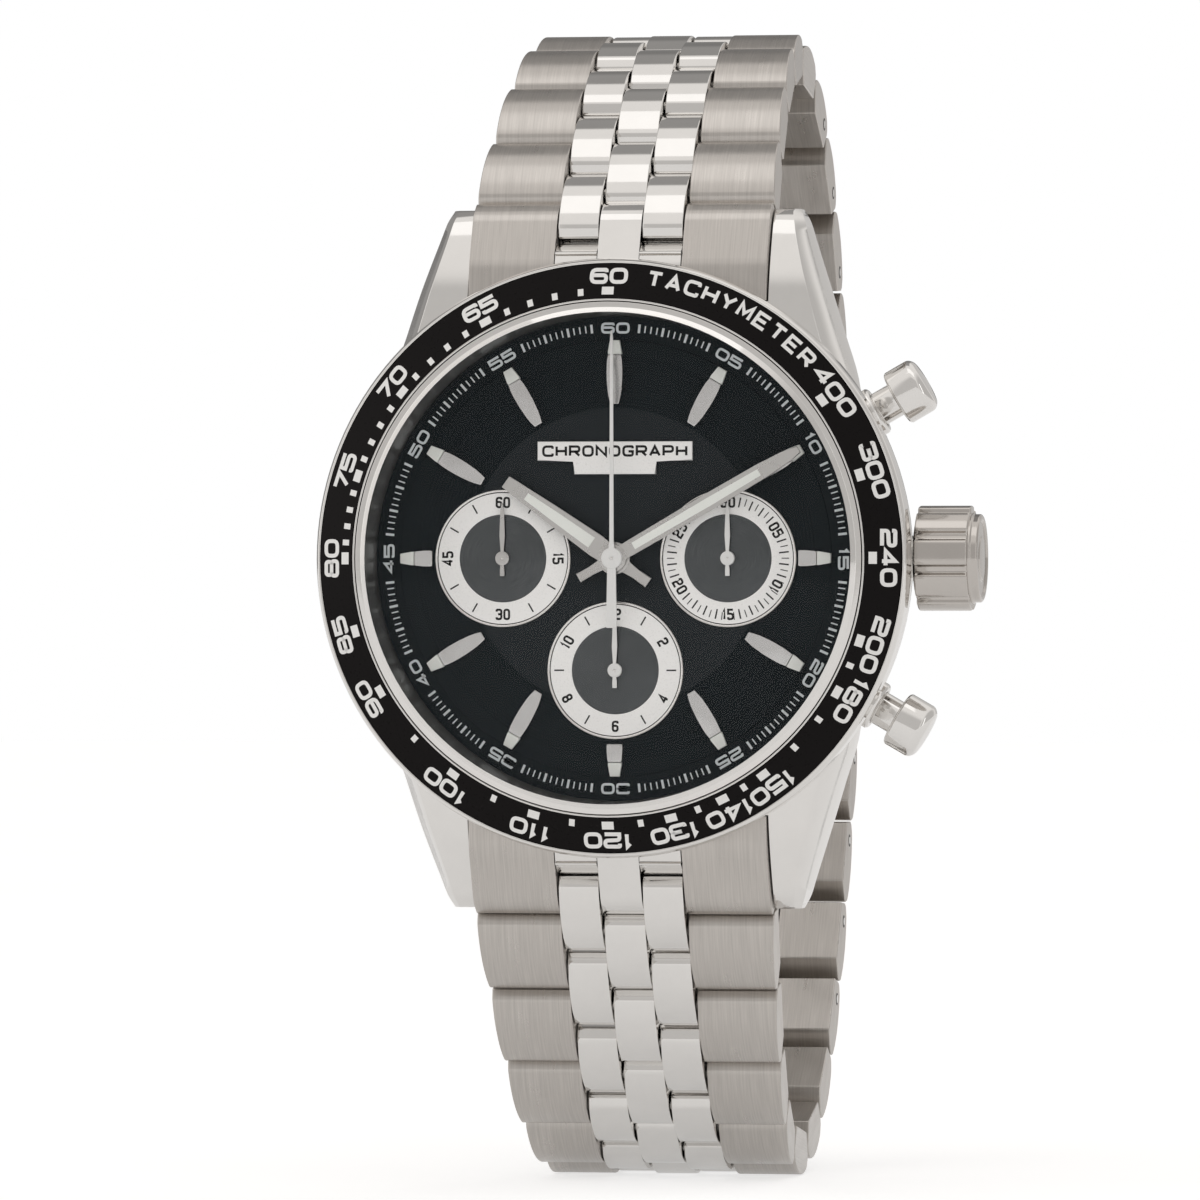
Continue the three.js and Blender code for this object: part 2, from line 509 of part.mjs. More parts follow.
// Row in its own frame: x across, y along the strand away from the case, z outwards, hinge line at z = 0.
function rowSolid(index) {
  const gap = END_GAP / 2;
  const end = PITCH / 2 - gap;
  const outerProfile = linkOutline(-end, end);
  const parts = [prism(outerProfile, -COLUMN / 2, COLUMN / 2)];
  [1, -1].forEach((side) => {
    const g = prism(outerProfile, Math.min(side * INNER_EDGE, side * (INNER_EDGE + 1)),
      Math.max(side * INNER_EDGE, side * (INNER_EDGE + 1)));
    const pos = g.attributes.position;
    for (let i = 0; i < pos.count; i += 1) {
      const outside = Math.abs(pos.getX(i)) > INNER_EDGE + 0.5;
      if (outside) pos.setX(i, side * halfWidth(index + pos.getY(i) / PITCH));
    }
    parts.push(g);
    const x0 = COLUMN / 2 + SIDE_GAP;
    const x1 = INNER_EDGE - SIDE_GAP;
    parts.push(prism(linkOutline(-PITCH + gap, -gap), Math.min(side * x0, side * x1),
      Math.max(side * x0, side * x1), [hex(-0.75 * PITCH, 0, BORE_R)]));
  });
  const across = INNER_EDGE + 1;
  parts.push(prism(circle(-PITCH / 4, 0, PIN_R + 0.1, 4), -across, across));
  parts.push(prism(hex(PITCH / 4, 0, PIN_R), -across, across));
  return join(...parts);
}

// Places a strand piece: the row's hinge to the one before it lands on `hinge`.
function placeRow(geometry, hinge, direction, side) {
  geometry.translate(0, 0.75 * PITCH, 0);
  geometry.rotateX(-direction * RAD);
  if (side < 0) geometry.rotateZ(Math.PI);
  return geometry.translate(0, hinge[0], hinge[1]);
}

function strand(prefix, directions, side) {
  const hinge = [side * HINGE_Y, HINGE_Z];
  directions.forEach((direction, i) => {
    const name = `${prefix}_row_${String(i + 1).padStart(2, '0')}`;
    addPart(name, placeRow(geometryOf(rowSolid(i)), hinge, direction, side), 'brushed');
    hinge[0] += side * PITCH * Math.cos(direction * RAD);
    hinge[1] -= PITCH * Math.sin(direction * RAD);
  });
  return hinge;
}

function endLink(name, side) {
  const along = [Math.cos(END_LINK_DIR * RAD), -Math.sin(END_LINK_DIR * RAD)];
  const outward = [Math.sin(END_LINK_DIR * RAD), Math.cos(END_LINK_DIR * RAD)];
  const at = (u, v) => [HINGE_Y + u * along[0] + v * outward[0], HINGE_Z + u * along[1] + v * outward[1]];
  const lip = PITCH / 4 - END_GAP / 2;
  const flat = LUG_TIP_Y - 7.6;
  const profile = [
    [flat, 1.6], [BAR_Y - 0.2, 1.4], at(0.9, -2.2), at(lip - 0.6, -LINK_IN), at(lip, -0.2),
    at(lip, LINK_EDGE), at(lip - 1.2, LINK_EDGE + 0.5), [BAR_Y - 0.3, CASE_TOP - 1.1],
    [BAR_Y - 1.6, CASE_TOP - 0.45], [flat, CASE_TOP - 0.3],
  ].map(([y, z]) => [side * y, z]);
  const halfSpan = LUG_GAP / 2 - 0.1;
  const block = solid(prism(profile, -halfSpan, halfSpan));
  const notch = [at(-PITCH / 4 - END_GAP / 2, 3.5), at(3, 3.5), at(3, -4.5), at(-0.6, -1.9),
    at(-PITCH / 4 - END_GAP / 2, -0.9)]
    .map(([y, z]) => [side * y, z]);
  const inner = [COLUMN / 2, INNER_EDGE];
  const notches = [[inner[0], inner[1]], [-inner[1], -inner[0]]].map(([a, b]) => prism(notch, a, b));
  const body = cut(block, disc(CASE_R + 0.15, -1, CASE_TOP + 1), ...notches,
    prism(circle(side * BAR_Y, BAR_Z, BAR_R + 0.1, 10), -halfSpan - 1, halfSpan + 1));
  const pin = prism(hex(side * HINGE_Y, HINGE_Z, PIN_R), -INNER_EDGE - 1, INNER_EDGE + 1);
  addPart(name, geometryOf(body.add(solid(pin))), 'brushed');
}

function springBar(name, side) {
  const halfSpan = LUG_GAP / 2 - 0.1;
  const body = prism(circle(side * BAR_Y, BAR_Z, BAR_R, 10), -halfSpan, halfSpan);
  const tips = prism(circle(side * BAR_Y, BAR_Z, BAR_R * 0.5, 8), -halfSpan - 0.7, halfSpan + 0.7);
  addPart(name, geometryOf(join(body, tips)), 'brushed');
}

// ---------------------------------------------------------------- folding clasp
// Drawn on an arc between the last hinge of the lower strand (station 0) and that of the upper strand.
function clasp(lowerEnd, upperEnd) {
  const chord = [upperEnd[0] - lowerEnd[0], upperEnd[1] - lowerEnd[1]];
  const length = Math.hypot(chord[0], chord[1]);
  const t = [chord[0] / length, chord[1] / length];
  const out = [t[1], -t[0]];
  const radius = length / 2 / Math.sin(CLASP_ARC * RAD);
  // s runs along the arc from the lower hinge, v outwards from it.
  const at = (s, v) => {
    const phi = ((2 * s) / length - 1) * CLASP_ARC * RAD;
    const along = length / 2 + (radius + v) * Math.sin(phi);
    const away = (radius + v) * Math.cos(phi) - radius * Math.cos(CLASP_ARC * RAD);
    return [lowerEnd[0] + t[0] * along + out[0] * away, lowerEnd[1] + t[1] * along + out[1] * away];
  };
  const band = (s0, s1, v0, v1, n = 6) => {
    const stations = Array.from({ length: n + 1 }, (_, i) => s0 + ((s1 - s0) * i) / n);
    return [...stations.map((s) => at(s, v0)), ...stations.reverse().map((s) => at(s, v1))];
  };
  const both = (points, x0, x1) => [prism(points, x0, x1), prism(points, -x1, -x0)];

  const start = PITCH / 4 + 0.3;
  const end = length - PITCH / 4 - 0.3;
  const wall = 1.0;
  const edge = CLASP_W / 2;
  const hingeS = end - 1.3;
  const foldS = start + 1.9;
  const bladeV = (BLADE_IN + BLADE_OUT) / 2;
  const foldBore = boreFor(CLASP_PIN_R);
  const armX0 = 4.6;
  const armX1 = edge - wall - 0.8;
  const pinStart = (armX0 + armX1) / 2 - 0.3;
  const buttonS = [end - 9.4, end - 5.4];

  const knuckles = [band(-0.9, start - 0.06, -1.1, 0.9, 2), band(start - 0.6, start + 0.8, 0.3, 0.85, 1)]
    .flatMap((points) => both(points, COLUMN / 2 + SIDE_GAP, INNER_EDGE - SIDE_GAP));
  const walls = both(band(start, end, BLADE_IN - 0.05, 0.5), edge - wall, edge);
  const cover = cut(join(prism(band(start, end, 0.2, 1.5, 10), -edge, edge), ...walls, ...knuckles),
    ...both(hex(...at(0, 0), BORE_R), COLUMN / 2, INNER_EDGE),
    ...both(hex(...at(hingeS, bladeV), foldBore), edge - wall - 1, edge - 0.4),
    ...both(band(buttonS[0] - 0.1, buttonS[1] + 0.1, BLADE_IN - 0.1, 0.15, 2), edge - wall - 0.5,
      edge + 0.5));
  addPart('clasp_cover', geometryOf(cover), 'brushed');

  const arms = both(band(foldS - 1.7, hingeS + 0.7, BLADE_IN, BLADE_OUT), armX0, armX1);
  const crossBar = prism(band(foldS - 1.7, foldS - 1.1, BLADE_IN, BLADE_OUT, 1), -armX0 - 0.5, armX0 + 0.5);
  addPart('clasp_blade_outer', geometryOf(cut(
    join(...arms, crossBar, ...both(hex(...at(hingeS, bladeV), CLASP_PIN_R), pinStart, edge - 0.5)),
    ...both(hex(...at(foldS, bladeV), foldBore), armX0 - 1, armX1 + 1))), 'polished');

  const tongue = prism(band(foldS - 0.75, end, BLADE_IN, BLADE_OUT, 8), -armX0 + 0.3, armX0 - 0.3);
  const fork = both(band(end - 0.5, length - PIN_R - 0.45, BLADE_IN, BLADE_OUT, 1), COLUMN / 2 + SIDE_GAP,
    INNER_EDGE - SIDE_GAP);
  const foldPin = prism(hex(...at(foldS, bladeV), CLASP_PIN_R), -armX1, armX1);
  addPart('clasp_blade_inner', geometryOf(join(tongue, foldPin, ...fork)), 'polished');

  [1, -1].forEach((side) => {
    const [a, b] = [edge - wall - 0.2, edge + 0.35].map((x) => side * x);
    addPart(side > 0 ? 'clasp_button_right' : 'clasp_button_left',
      prism(band(buttonS[0], buttonS[1], BLADE_IN, 0.05, 2), Math.min(a, b), Math.max(a, b)), 'polished');
  });
}

head();
dialParts();
hands();
movement();
crownAndPushers();
endLink('end_link_upper', 1);
endLink('end_link_lower', -1);
springBar('spring_bar_upper', 1);
springBar('spring_bar_lower', -1);
const upperEnd = strand('upper', UPPER_DIRS, 1);
const lowerEnd = strand('lower', LOWER_DIRS, -1);
clasp(lowerEnd, upperEnd);

export default watch;
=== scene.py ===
"""Looks of a chronograph wristwatch on a closed five-column steel bracelet.

Meshes are drawn in the watch's own millimetres: x to 3 o'clock, y to 12 o'clock and z from the
case back towards the crystal. HEAD turns them into the row frame, where the dial stands upright
and faces -Y. A row of the bracelet is drawn in its own frame: x across, y along the strand, z out.
"""

import json
import math

import bmesh
import bpy
from mathutils import Matrix, Vector


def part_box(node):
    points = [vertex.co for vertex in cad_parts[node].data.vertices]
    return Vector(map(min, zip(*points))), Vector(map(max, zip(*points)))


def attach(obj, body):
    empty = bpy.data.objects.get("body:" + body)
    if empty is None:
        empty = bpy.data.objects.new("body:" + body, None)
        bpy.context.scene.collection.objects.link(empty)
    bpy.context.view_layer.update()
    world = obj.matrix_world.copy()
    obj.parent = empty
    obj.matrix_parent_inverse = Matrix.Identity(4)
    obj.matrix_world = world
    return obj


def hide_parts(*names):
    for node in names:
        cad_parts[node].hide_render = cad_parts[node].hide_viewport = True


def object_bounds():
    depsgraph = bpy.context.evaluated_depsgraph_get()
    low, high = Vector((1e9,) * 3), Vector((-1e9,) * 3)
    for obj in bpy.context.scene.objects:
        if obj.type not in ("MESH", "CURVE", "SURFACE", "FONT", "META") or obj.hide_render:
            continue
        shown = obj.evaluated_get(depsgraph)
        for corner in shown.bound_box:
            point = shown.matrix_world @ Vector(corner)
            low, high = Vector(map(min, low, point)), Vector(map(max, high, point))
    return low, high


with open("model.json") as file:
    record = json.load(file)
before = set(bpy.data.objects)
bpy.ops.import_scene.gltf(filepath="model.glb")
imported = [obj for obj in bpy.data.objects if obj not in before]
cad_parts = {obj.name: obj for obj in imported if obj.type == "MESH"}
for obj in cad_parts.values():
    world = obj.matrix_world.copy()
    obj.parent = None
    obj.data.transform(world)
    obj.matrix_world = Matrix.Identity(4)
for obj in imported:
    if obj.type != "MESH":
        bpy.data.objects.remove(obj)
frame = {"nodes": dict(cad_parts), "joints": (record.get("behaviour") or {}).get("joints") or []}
cad_low, cad_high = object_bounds()

MM = 0.001
HEAD = Matrix.Scale(MM, 4) @ Matrix(((1, 0, 0, 0), (0, 0, -1, 0), (0, 1, 0, 0), (0, 0, 0, 1)))
HEAD_BACK = HEAD.inverted()


def head_box(node):
    """Lowest and highest corner of a CAD node in the watch's millimetres."""
    corners = [HEAD_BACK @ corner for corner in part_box(node)]
    low = Vector([min(c[i] for c in corners) for i in range(3)])
    high = Vector([max(c[i] for c in corners) for i in range(3)])
    return low, high


# ---------------------------------------------------------------- sizes taken from the frame
BEZEL_R = head_box("bezel_ring")[1].x
CASE_TOP = head_box("bezel_ring")[0].z
INSERT_OUTER_R = head_box("bezel_insert")[1].x
BEZEL_TOP = head_box("bezel_ring")[1].z
CRYSTAL_R = head_box("crystal")[1].x
CRYSTAL_TOP = head_box("crystal")[1].z
DIAL_TOP = head_box("small_seconds_ring")[0].z
FLANGE_TOP = head_box("dial_flange")[1].z
BACK_R = head_box("case_back")[1].x
BACK_T = head_box("case_back")[1].z
GLASS_R = head_box("case_back_glass")[1].x
GLASS_T = head_box("case_back_glass")[1].z
STEM_Z = (head_box("crown_tube")[0].z + head_box("crown_tube")[1].z) / 2
SUBDIAL_R = (head_box("small_seconds_ring")[1].y - head_box("small_seconds_ring")[0].y) / 2
LUG_TIP_Y = head_box("case_middle")[1].y
CASE_BOTTOM = 0.9

# ---------------------------------------------------------------- sizes of the finish
CASE_R = 20.5
LUG_GAP = 21.4
INSERT_INNER_R = 18.15
INSERT_OUTER_Z = 11.2
DIAL_OPENING_R = 17.0
DIAL_EDGE_R = 17.8
GROOVE_START_R = 10.7
GROOVE_END_R = 14.3
GROOVE_PITCH = 0.24
GROOVE_DEPTH = 0.03
DIAL_STEP_R = 15.35
SUB_BLACK_R = 3.13
SUB_SILVER_R = 4.6
COLUMN = 3.0
SIDE_GAP = 0.12
INNER_EDGE = 1.5 * COLUMN
ROW_WIDTH = 20.9
ROW_TAPER = 0.73
ROW_END_WIDTH = 18.3
LINK_IN = 1.6
LINK_CROWN = 1.7
LINK_EDGE = 0.75
LINK_BEVEL = 0.85
END_GAP = 0.1
FACET = 0.42
CREST_ROUND = 0.22
PIN_R = 0.55
PIN_END_R = 0.30
PIN_RECESS_R = 0.46
ROUND = 144
SUB_ROUND = 96


# ---------------------------------------------------------------- materials
NOISE_SPAN = (0.3, 0.7)
SAPPHIRE_IOR = 1.76
BANDS_PER_SCALE = 0.314


def new_material(name, color, metallic, roughness):
    mat = bpy.data.materials.new(name)
    mat.use_nodes = True
    shader = mat.node_tree.nodes["Principled BSDF"]
    shader.inputs["Base Color"].default_value = (*color, 1)
    shader.inputs["Metallic"].default_value = metallic
    shader.inputs["Roughness"].default_value = roughness
    return mat, mat.node_tree, shader


def noise(tree, coordinates, stretch, detail=3.0, rough=0.55):
    """Noise in millimetres: `stretch` is its frequency along each axis of the coordinates."""
    mapping = tree.nodes.new("ShaderNodeMapping")
    mapping.inputs["Scale"].default_value = stretch
    texture = tree.nodes.new("ShaderNodeTexNoise")
    texture.inputs["Scale"].default_value = 1.0
    texture.inputs["Detail"].default_value = detail
    texture.inputs["Roughness"].default_value = rough
    tree.links.new(coordinates, mapping.inputs["Vector"])
    tree.links.new(mapping.outputs["Vector"], texture.inputs["Vector"])
    return texture.outputs["Fac"]


def grain_coordinates(tree):
    node = tree.nodes.new("ShaderNodeUVMap")
    node.uv_map = "grain"
    return node.outputs["UV"]


def object_coordinates(tree):
    """Object coordinates in millimetres, for pieces without a grain map."""
    node = tree.nodes.new("ShaderNodeTexCoord")
    scale = tree.nodes.new("ShaderNodeVectorMath")
    scale.operation = "SCALE"
    scale.inputs["Scale"].default_value = 1 / MM
    tree.links.new(node.outputs["Object"], scale.inputs[0])
    return scale.outputs["Vector"]


def tint(tree, shader, factor, dark, light):
    ramp = tree.nodes.new("ShaderNodeValToRGB")
    for element, position, color in zip(ramp.color_ramp.elements, NOISE_SPAN, (dark, light)):
        element.position = position
        element.color = (*color, 1)
    tree.links.new(factor, ramp.inputs["Fac"])
    tree.links.new(ramp.outputs["Color"], shader.inputs["Base Color"])


def ramp_node(tree, value, start, end, low, high, interpolation="SMOOTHSTEP"):
    """Takes a value from `low` before `start` to `high` after `end`."""
    node = tree.nodes.new("ShaderNodeMapRange")
    node.interpolation_type = interpolation
    for name, number in (("From Min", start), ("From Max", end), ("To Min", low), ("To Max", high)):
        node.inputs[name].default_value = number
    tree.links.new(value, node.inputs["Value"])
    return node.outputs["Result"]


def multiply(tree, a, b):
    """The product of two sockets, or of a socket and a number."""
    node = tree.nodes.new("ShaderNodeMath")
    node.operation = "MULTIPLY"
    for socket, value in zip(node.inputs, (a, b)):
        if isinstance(value, float):
            socket.default_value = value
        else:
            tree.links.new(value, socket)
    return node.outputs["Value"]


def vary_roughness(tree, shader, factor, low, high):
    spread = ramp_node(tree, factor, *NOISE_SPAN, low, high, "LINEAR")
    tree.links.new(spread, shader.inputs["Roughness"])


def bump(tree, shader, factor, depth_mm, strength=1.0):
    node = tree.nodes.new("ShaderNodeBump")
    node.inputs["Strength"].default_value = strength
    node.inputs["Distance"].default_value = depth_mm * MM
    tree.links.new(factor, node.inputs["Height"])
    tree.links.new(node.outputs["Normal"], shader.inputs["Normal"])


def shaded(color, factor):
    return tuple(c * factor for c in color)


def brushed(name, color, roughness, anisotropy, fine=9.0, depth=0.004, contrast=0.8):
    """Metal with a straight or circular grain along the u of its grain map."""
    mat, tree, shader = new_material(name, color, 1.0, roughness)
    coordinates = grain_coordinates(tree)
    lines = noise(tree, coordinates, (0.22, fine, 1.0), detail=5.0, rough=0.65)
    clouds = noise(tree, coordinates, (0.25, 0.7, 1.0), detail=2.0)
    tint(tree, shader, lines, shaded(color, contrast), color)
    vary_roughness(tree, shader, clouds, roughness * 0.88, roughness * 1.15)
    bump(tree, shader, lines, depth)
    tangent = tree.nodes.new("ShaderNodeTangent")
    tangent.direction_type = "UV_MAP"
    tangent.uv_map = "grain"
    tree.links.new(tangent.outputs["Tangent"], shader.inputs["Tangent"])
    shader.inputs["Anisotropic"].default_value = anisotropy
    shader.inputs["Anisotropic Rotation"].default_value = 0.25
    return mat


def polished(name, color, roughness=0.05, wear=0.05, depth=0.0006):
    """Mirror metal with faint hairlines and handling marks."""
    mat, tree, shader = new_material(name, color, 1.0, roughness)
    coordinates = object_coordinates(tree)
    marks = noise(tree, coordinates, (0.45, 0.45, 0.45), detail=6.0, rough=0.7)
    hairs = noise(tree, coordinates, (1.5, 11.0, 4.0), detail=2.0)
    vary_roughness(tree, shader, marks, roughness, roughness + wear)
    tint(tree, shader, marks, shaded(color, 0.965), color)
    bump(tree, shader, hairs, depth, 0.6)
    return mat


def lacquer(name, color, roughness, speckle, variation=0.85, specular=0.5, metallic=0.0, depth=0.002):
    """Paint, print, plastic or rubber with a fine surface texture."""
    mat, tree, shader = new_material(name, color, metallic, roughness)
    coordinates = object_coordinates(tree)
    grains = noise(tree, coordinates, (speckle, speckle, speckle), detail=4.0)
    tint(tree, shader, grains, shaded(color, variation), color)
    vary_roughness(tree, shader, grains, roughness * 0.85, roughness * 1.15)
    bump(tree, shader, grains, depth)
    shader.inputs["Specular IOR Level"].default_value = specular
    return mat


def clear(name, coating):
    """Coated sapphire: what is behind it shows through, and it reflects by Fresnel."""
    mat, tree, shader = new_material(name, (0.95, 0.97, 1.0), 1.0, 0.02)
    fresnel = tree.nodes.new("ShaderNodeFresnel")
    fresnel.inputs["IOR"].default_value = SAPPHIRE_IOR
    smudges = noise(tree, object_coordinates(tree), (0.12, 0.12, 0.12), detail=3.0)
    vary_roughness(tree, shader, smudges, 0.01, 0.05)
    tree.links.new(multiply(tree, fresnel.outputs["Fac"], coating), shader.inputs["Alpha"])
    return mat


def striped(name, color, pitch):
    """Rhodium plate with straight decorative stripes `pitch` millimetres apart."""
    mat, tree, shader = new_material(name, color, 1.0, 0.3)
    coordinates = object_coordinates(tree)
    wave = tree.nodes.new("ShaderNodeTexWave")
    wave.bands_direction = "X"
    wave.wave_profile = "SAW"
    wave.inputs["Scale"].default_value = BANDS_PER_SCALE / pitch
    wave.inputs["Distortion"].default_value = 0.0
    tree.links.new(coordinates, wave.inputs["Vector"])
    lines = noise(tree, coordinates, (9.0, 9.0, 1.2), detail=4.0)
    mix = tree.nodes.new("ShaderNodeMath")
    mix.operation = "MULTIPLY_ADD"
    mix.inputs[1].default_value = 0.25
    tree.links.new(lines, mix.inputs[0])
    tree.links.new(wave.outputs["Fac"], mix.inputs[2])
    tint(tree, shader, wave.outputs["Fac"], shaded(color, 0.72), color)
    vary_roughness(tree, shader, lines, 0.24, 0.36)
    bump(tree, shader, mix.outputs["Value"], 0.03)
    return mat


STEEL = (0.80, 0.785, 0.765)
WARM_STEEL = (0.60, 0.568, 0.535)
M = {
    "brushed": brushed("brushed_steel", WARM_STEEL, 0.3, 0.75),
    "brushed_ring": brushed("turned_steel", WARM_STEEL, 0.3, 0.7),
    "polished": polished("polished_steel", STEEL),
    "blades": brushed("blade_steel", (0.66, 0.645, 0.62), 0.22, 0.6, fine=5.0),
    # the crown's steel is coloured darker than the case's: painted shade
    "crown": polished("crown_steel_painted_shade", (0.56, 0.53, 0.50), 0.10, 0.05),
    "rehaut": polished("rehaut_steel", (0.50, 0.49, 0.475), 0.32, 0.05),
    "hands": polished("hand_steel", (0.57, 0.56, 0.545), 0.24, 0.08),
    "markers": polished("marker_steel", (0.62, 0.615, 0.61), 0.2, 0.08),
    "insert": lacquer("insert_black", (0.0058, 0.0046, 0.0046), 0.3, 3.0, specular=0.09, depth=0.0004),
    "bezel_print": lacquer("insert_print", (0.84, 0.835, 0.82), 0.45, 6.0, 0.95),
    "dial": lacquer("dial_black", (0.0068, 0.0112, 0.0136), 0.4, 14.0, 0.85, 0.07, depth=0.0002),
    # the plain centre is coloured lighter than the grooved dial round it: a painted reflection
    "dial_centre": lacquer("dial_centre_black_painted_sheen", (0.0155, 0.0200, 0.0230), 0.45, 22.0, 0.85, 0.10,
                           depth=0.0002),
    "azure": brushed("azure_black", (0.12, 0.128, 0.133), 0.32, 0.92, fine=14.0, contrast=0.6),
    "silver": lacquer("silvered_ring", (0.97, 0.965, 0.95), 0.3, 10.0, 0.97, specular=0.8, depth=0.0004),
    "plate": lacquer("silvered_plate", (0.95, 0.945, 0.93), 0.3, 8.0, 0.97, specular=0.8, depth=0.0004),
    "dial_print": lacquer("dial_print", (0.72, 0.77, 0.79), 0.45, 9.0, 0.95),
    "black_print": lacquer("black_print", (0.012, 0.012, 0.012), 0.5, 9.0, 0.9, 0.2),
    "white": lacquer("white_hand", (0.80, 0.80, 0.79), 0.35, 8.0, 0.97),
    "lume": lacquer("lume", (0.86, 0.88, 0.84), 0.6, 12.0, 0.96),
    "glass": clear("coated_sapphire", 0.07),
    "back_glass": clear("back_sapphire", 0.25),
    # near-black rubber for the gaskets, also painted shade in the pin recesses and screw slots
    "rubber": lacquer("gasket_rubber", (0.018, 0.018, 0.019), 0.6, 5.0),
    "plastic": lacquer("ring_plastic", (0.42, 0.42, 0.42), 0.5, 4.0, 0.9),
    "stripes": striped("striped_rhodium", (0.72, 0.70, 0.66), 1.35),
    "gilt": polished("gilt_brass", (0.83, 0.60, 0.26), 0.18, 0.1),
    "ruby": lacquer("ruby", (0.42, 0.01, 0.04), 0.08, 3.0, 0.8),
    "blued": polished("blued_steel", (0.03, 0.07, 0.32), 0.12, 0.05),
}
# a finish that is not listed has a slot of its own name
SLOTS = {
    **dict.fromkeys(("crown", "rehaut", "hands", "markers", "blades"), "polished"),
    **dict.fromkeys(("bezel_print", "dial_print", "lume"), "white"),
    **dict.fromkeys(("dial_centre", "azure", "black_print"), "dial"),
    **dict.fromkeys(("stripes", "blued"), "movement"),
    **dict.fromkeys(("gilt", "ruby"), "gold"),
    "brushed_ring": "brushed", "plate": "silver", "back_glass": "glass",
}


# ---------------------------------------------------------------- mesh helpers
def rounded(points, setback, steps=4, closed=True):
    """The outline with its corners cut back by `setback` and rounded; one number, or one a corner."""
    count = len(points)
    result = []
    for i, point in enumerate(points):
        cut = setback[i] if isinstance(setback, (list, tuple)) else setback
        ends = not closed and i in (0, count - 1)
        if ends or cut <= 0:
            result.append(tuple(point))
            continue
        corner = Vector(point)
        before = Vector(points[i - 1]) - corner
        after = Vector(points[(i + 1) % count]) - corner
        reach = min(cut, before.length * 0.48, after.length * 0.48)
        a = corner + before.normalized() * reach
        b = corner + after.normalized() * reach
        for k in range(steps + 1):
            t = k / steps
            result.append(tuple(a * (1 - t) ** 2 + corner * 2 * t * (1 - t) + b * t * t))
    return result


def circle(x, y, radius, count, start=0.0):
    turns = [start + 2 * math.pi * k / count for k in range(count)]
    return [(x + radius * math.cos(t), y + radius * math.sin(t)) for t in turns]


def add_lathe(bm, profile, segments=ROUND, centre=(0.0, 0.0)):
    """Adds a turned body about z: [radius, z] points, closed on itself or ending on the axis."""
    rings = []
    for radius, z in profile:
        if radius < 1e-6:
            rings.append([bm.verts.new((*centre, z))])
        else:
            rings.append([bm.verts.new((x, y, z)) for x, y in circle(*centre, radius, segments)])
    pairs = list(zip(rings, rings[1:]))
    if len(rings[0]) > 1 or len(rings[-1]) > 1:
        pairs.append((rings[-1], rings[0]))
    for a, b in pairs:
        for k in range(segments):
            j = (k + 1) % segments
            corners = [a[k % len(a)], a[j % len(a)], b[j % len(b)], b[k % len(b)]]
            unique = list(dict.fromkeys(corners))
            if len(unique) > 2:
                bm.faces.new(unique)


def add_turned(bm, profile, setback, segments=ROUND, centre=(0.0, 0.0), steps=3, closed=True):
    """Adds a turned body with rounded corners."""
    add_lathe(bm, rounded(profile, setback, steps, closed), segments, centre)


def add_slab(bm, outline, z0, z1):
    """Adds a plate: x-y outline between two heights. Returns the edges of its top."""
    low = [bm.verts.new((x, y, z0)) for x, y in outline]
    high = [bm.verts.new((x, y, z1)) for x, y in outline]
    bm.faces.new(low[::-1])
    top = bm.faces.new(high)
    for i in range(len(outline)):
        j = (i + 1) % len(outline)
        bm.faces.new((low[i], low[j], high[j], high[i]))
    return list(top.edges)


def add_prism(bm, outline, x0, x1, edge=None):
    """Adds a prism across the watch: y-z outline from x0 to x1, or to edge(y) where that is given."""
    near = [bm.verts.new((x0, y, z)) for y, z in outline]
    far = [bm.verts.new((edge(y) if edge else x1, y, z)) for y, z in outline]
    bm.faces.new(near[::-1])
    bm.faces.new(far)
    for i in range(len(outline)):
        j = (i + 1) % len(outline)
        bm.faces.new((near[i], near[j], far[j], far[i]))


def bevel_edges(bm, edges, width, steps=2):
    bmesh.ops.bevel(bm, geom=edges, offset=width, segments=steps, profile=0.5, affect="EDGES",
                    clamp_overlap=True)


def bevel_sharp(bm, width, steps=2, limit=28.0):
    bmesh.ops.recalc_face_normals(bm, faces=bm.faces)
    sharp = [e for e in bm.edges if len(e.link_faces) == 2
             and e.calc_face_angle(0.0) > math.radians(limit)]
    bevel_edges(bm, sharp, width, steps)


def grain_straight(bm, axis=1):
    """Grain map whose u runs along one axis, in millimetres."""
    layer = bm.loops.layers.uv.new("grain")
    first, second = (axis + 1) % 3, (axis + 2) % 3
    for face in bm.faces:
        face.normal_update()
        across = second if abs(face.normal[first]) > abs(face.normal[second]) else first
        for loop in face.loops:
            loop[layer].uv = (loop.vert.co[axis], loop.vert.co[across])


def grain_round(bm, centre=(0.0, 0.0), spread=10.0):
    """Grain map whose u runs round a centre."""
    layer = bm.loops.layers.uv.new("grain")
    for face in bm.faces:
        middle = face.calc_center_median()
        turn = math.atan2(middle.y - centre[1], middle.x - centre[0])
        for loop in face.loops:
            dx, dy = loop.vert.co.x - centre[0], loop.vert.co.y - centre[1]
            radius = math.hypot(dx, dy)
            off = 0.0
            if radius > 1e-6:
                off = (math.atan2(dy, dx) - turn + math.pi) % (2 * math.pi) - math.pi
            loop[layer].uv = ((turn + off) * spread, radius + loop.vert.co.z)


def add_piece(name, bm, finish, body, stands_for=(), place=None, sharp=38.0, slot=None):
    """Adds the piece; the slot that its finish belongs to, or the one given, is worked out but not given to
    it.
    """
    bmesh.ops.recalc_face_normals(bm, faces=bm.faces)
    mesh = bpy.data.meshes.new(name)
    bm.to_mesh(mesh)
    bm.free()
    if place is not None:
        mesh.transform(place)
    mesh.transform(HEAD)
    mesh.materials.append(M[finish])
    mesh.shade_smooth()
    mesh.set_sharp_from_angle(angle=math.radians(sharp))
    obj = bpy.data.objects.new(name, mesh)
    bpy.context.scene.collection.objects.link(obj)
    weighted = obj.modifiers.new("weighted_normals", "WEIGHTED_NORMAL")
    weighted.keep_sharp = True
    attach(obj, body)
    slot or SLOTS.get(finish, finish)
    if stands_for:
        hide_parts(*stands_for)


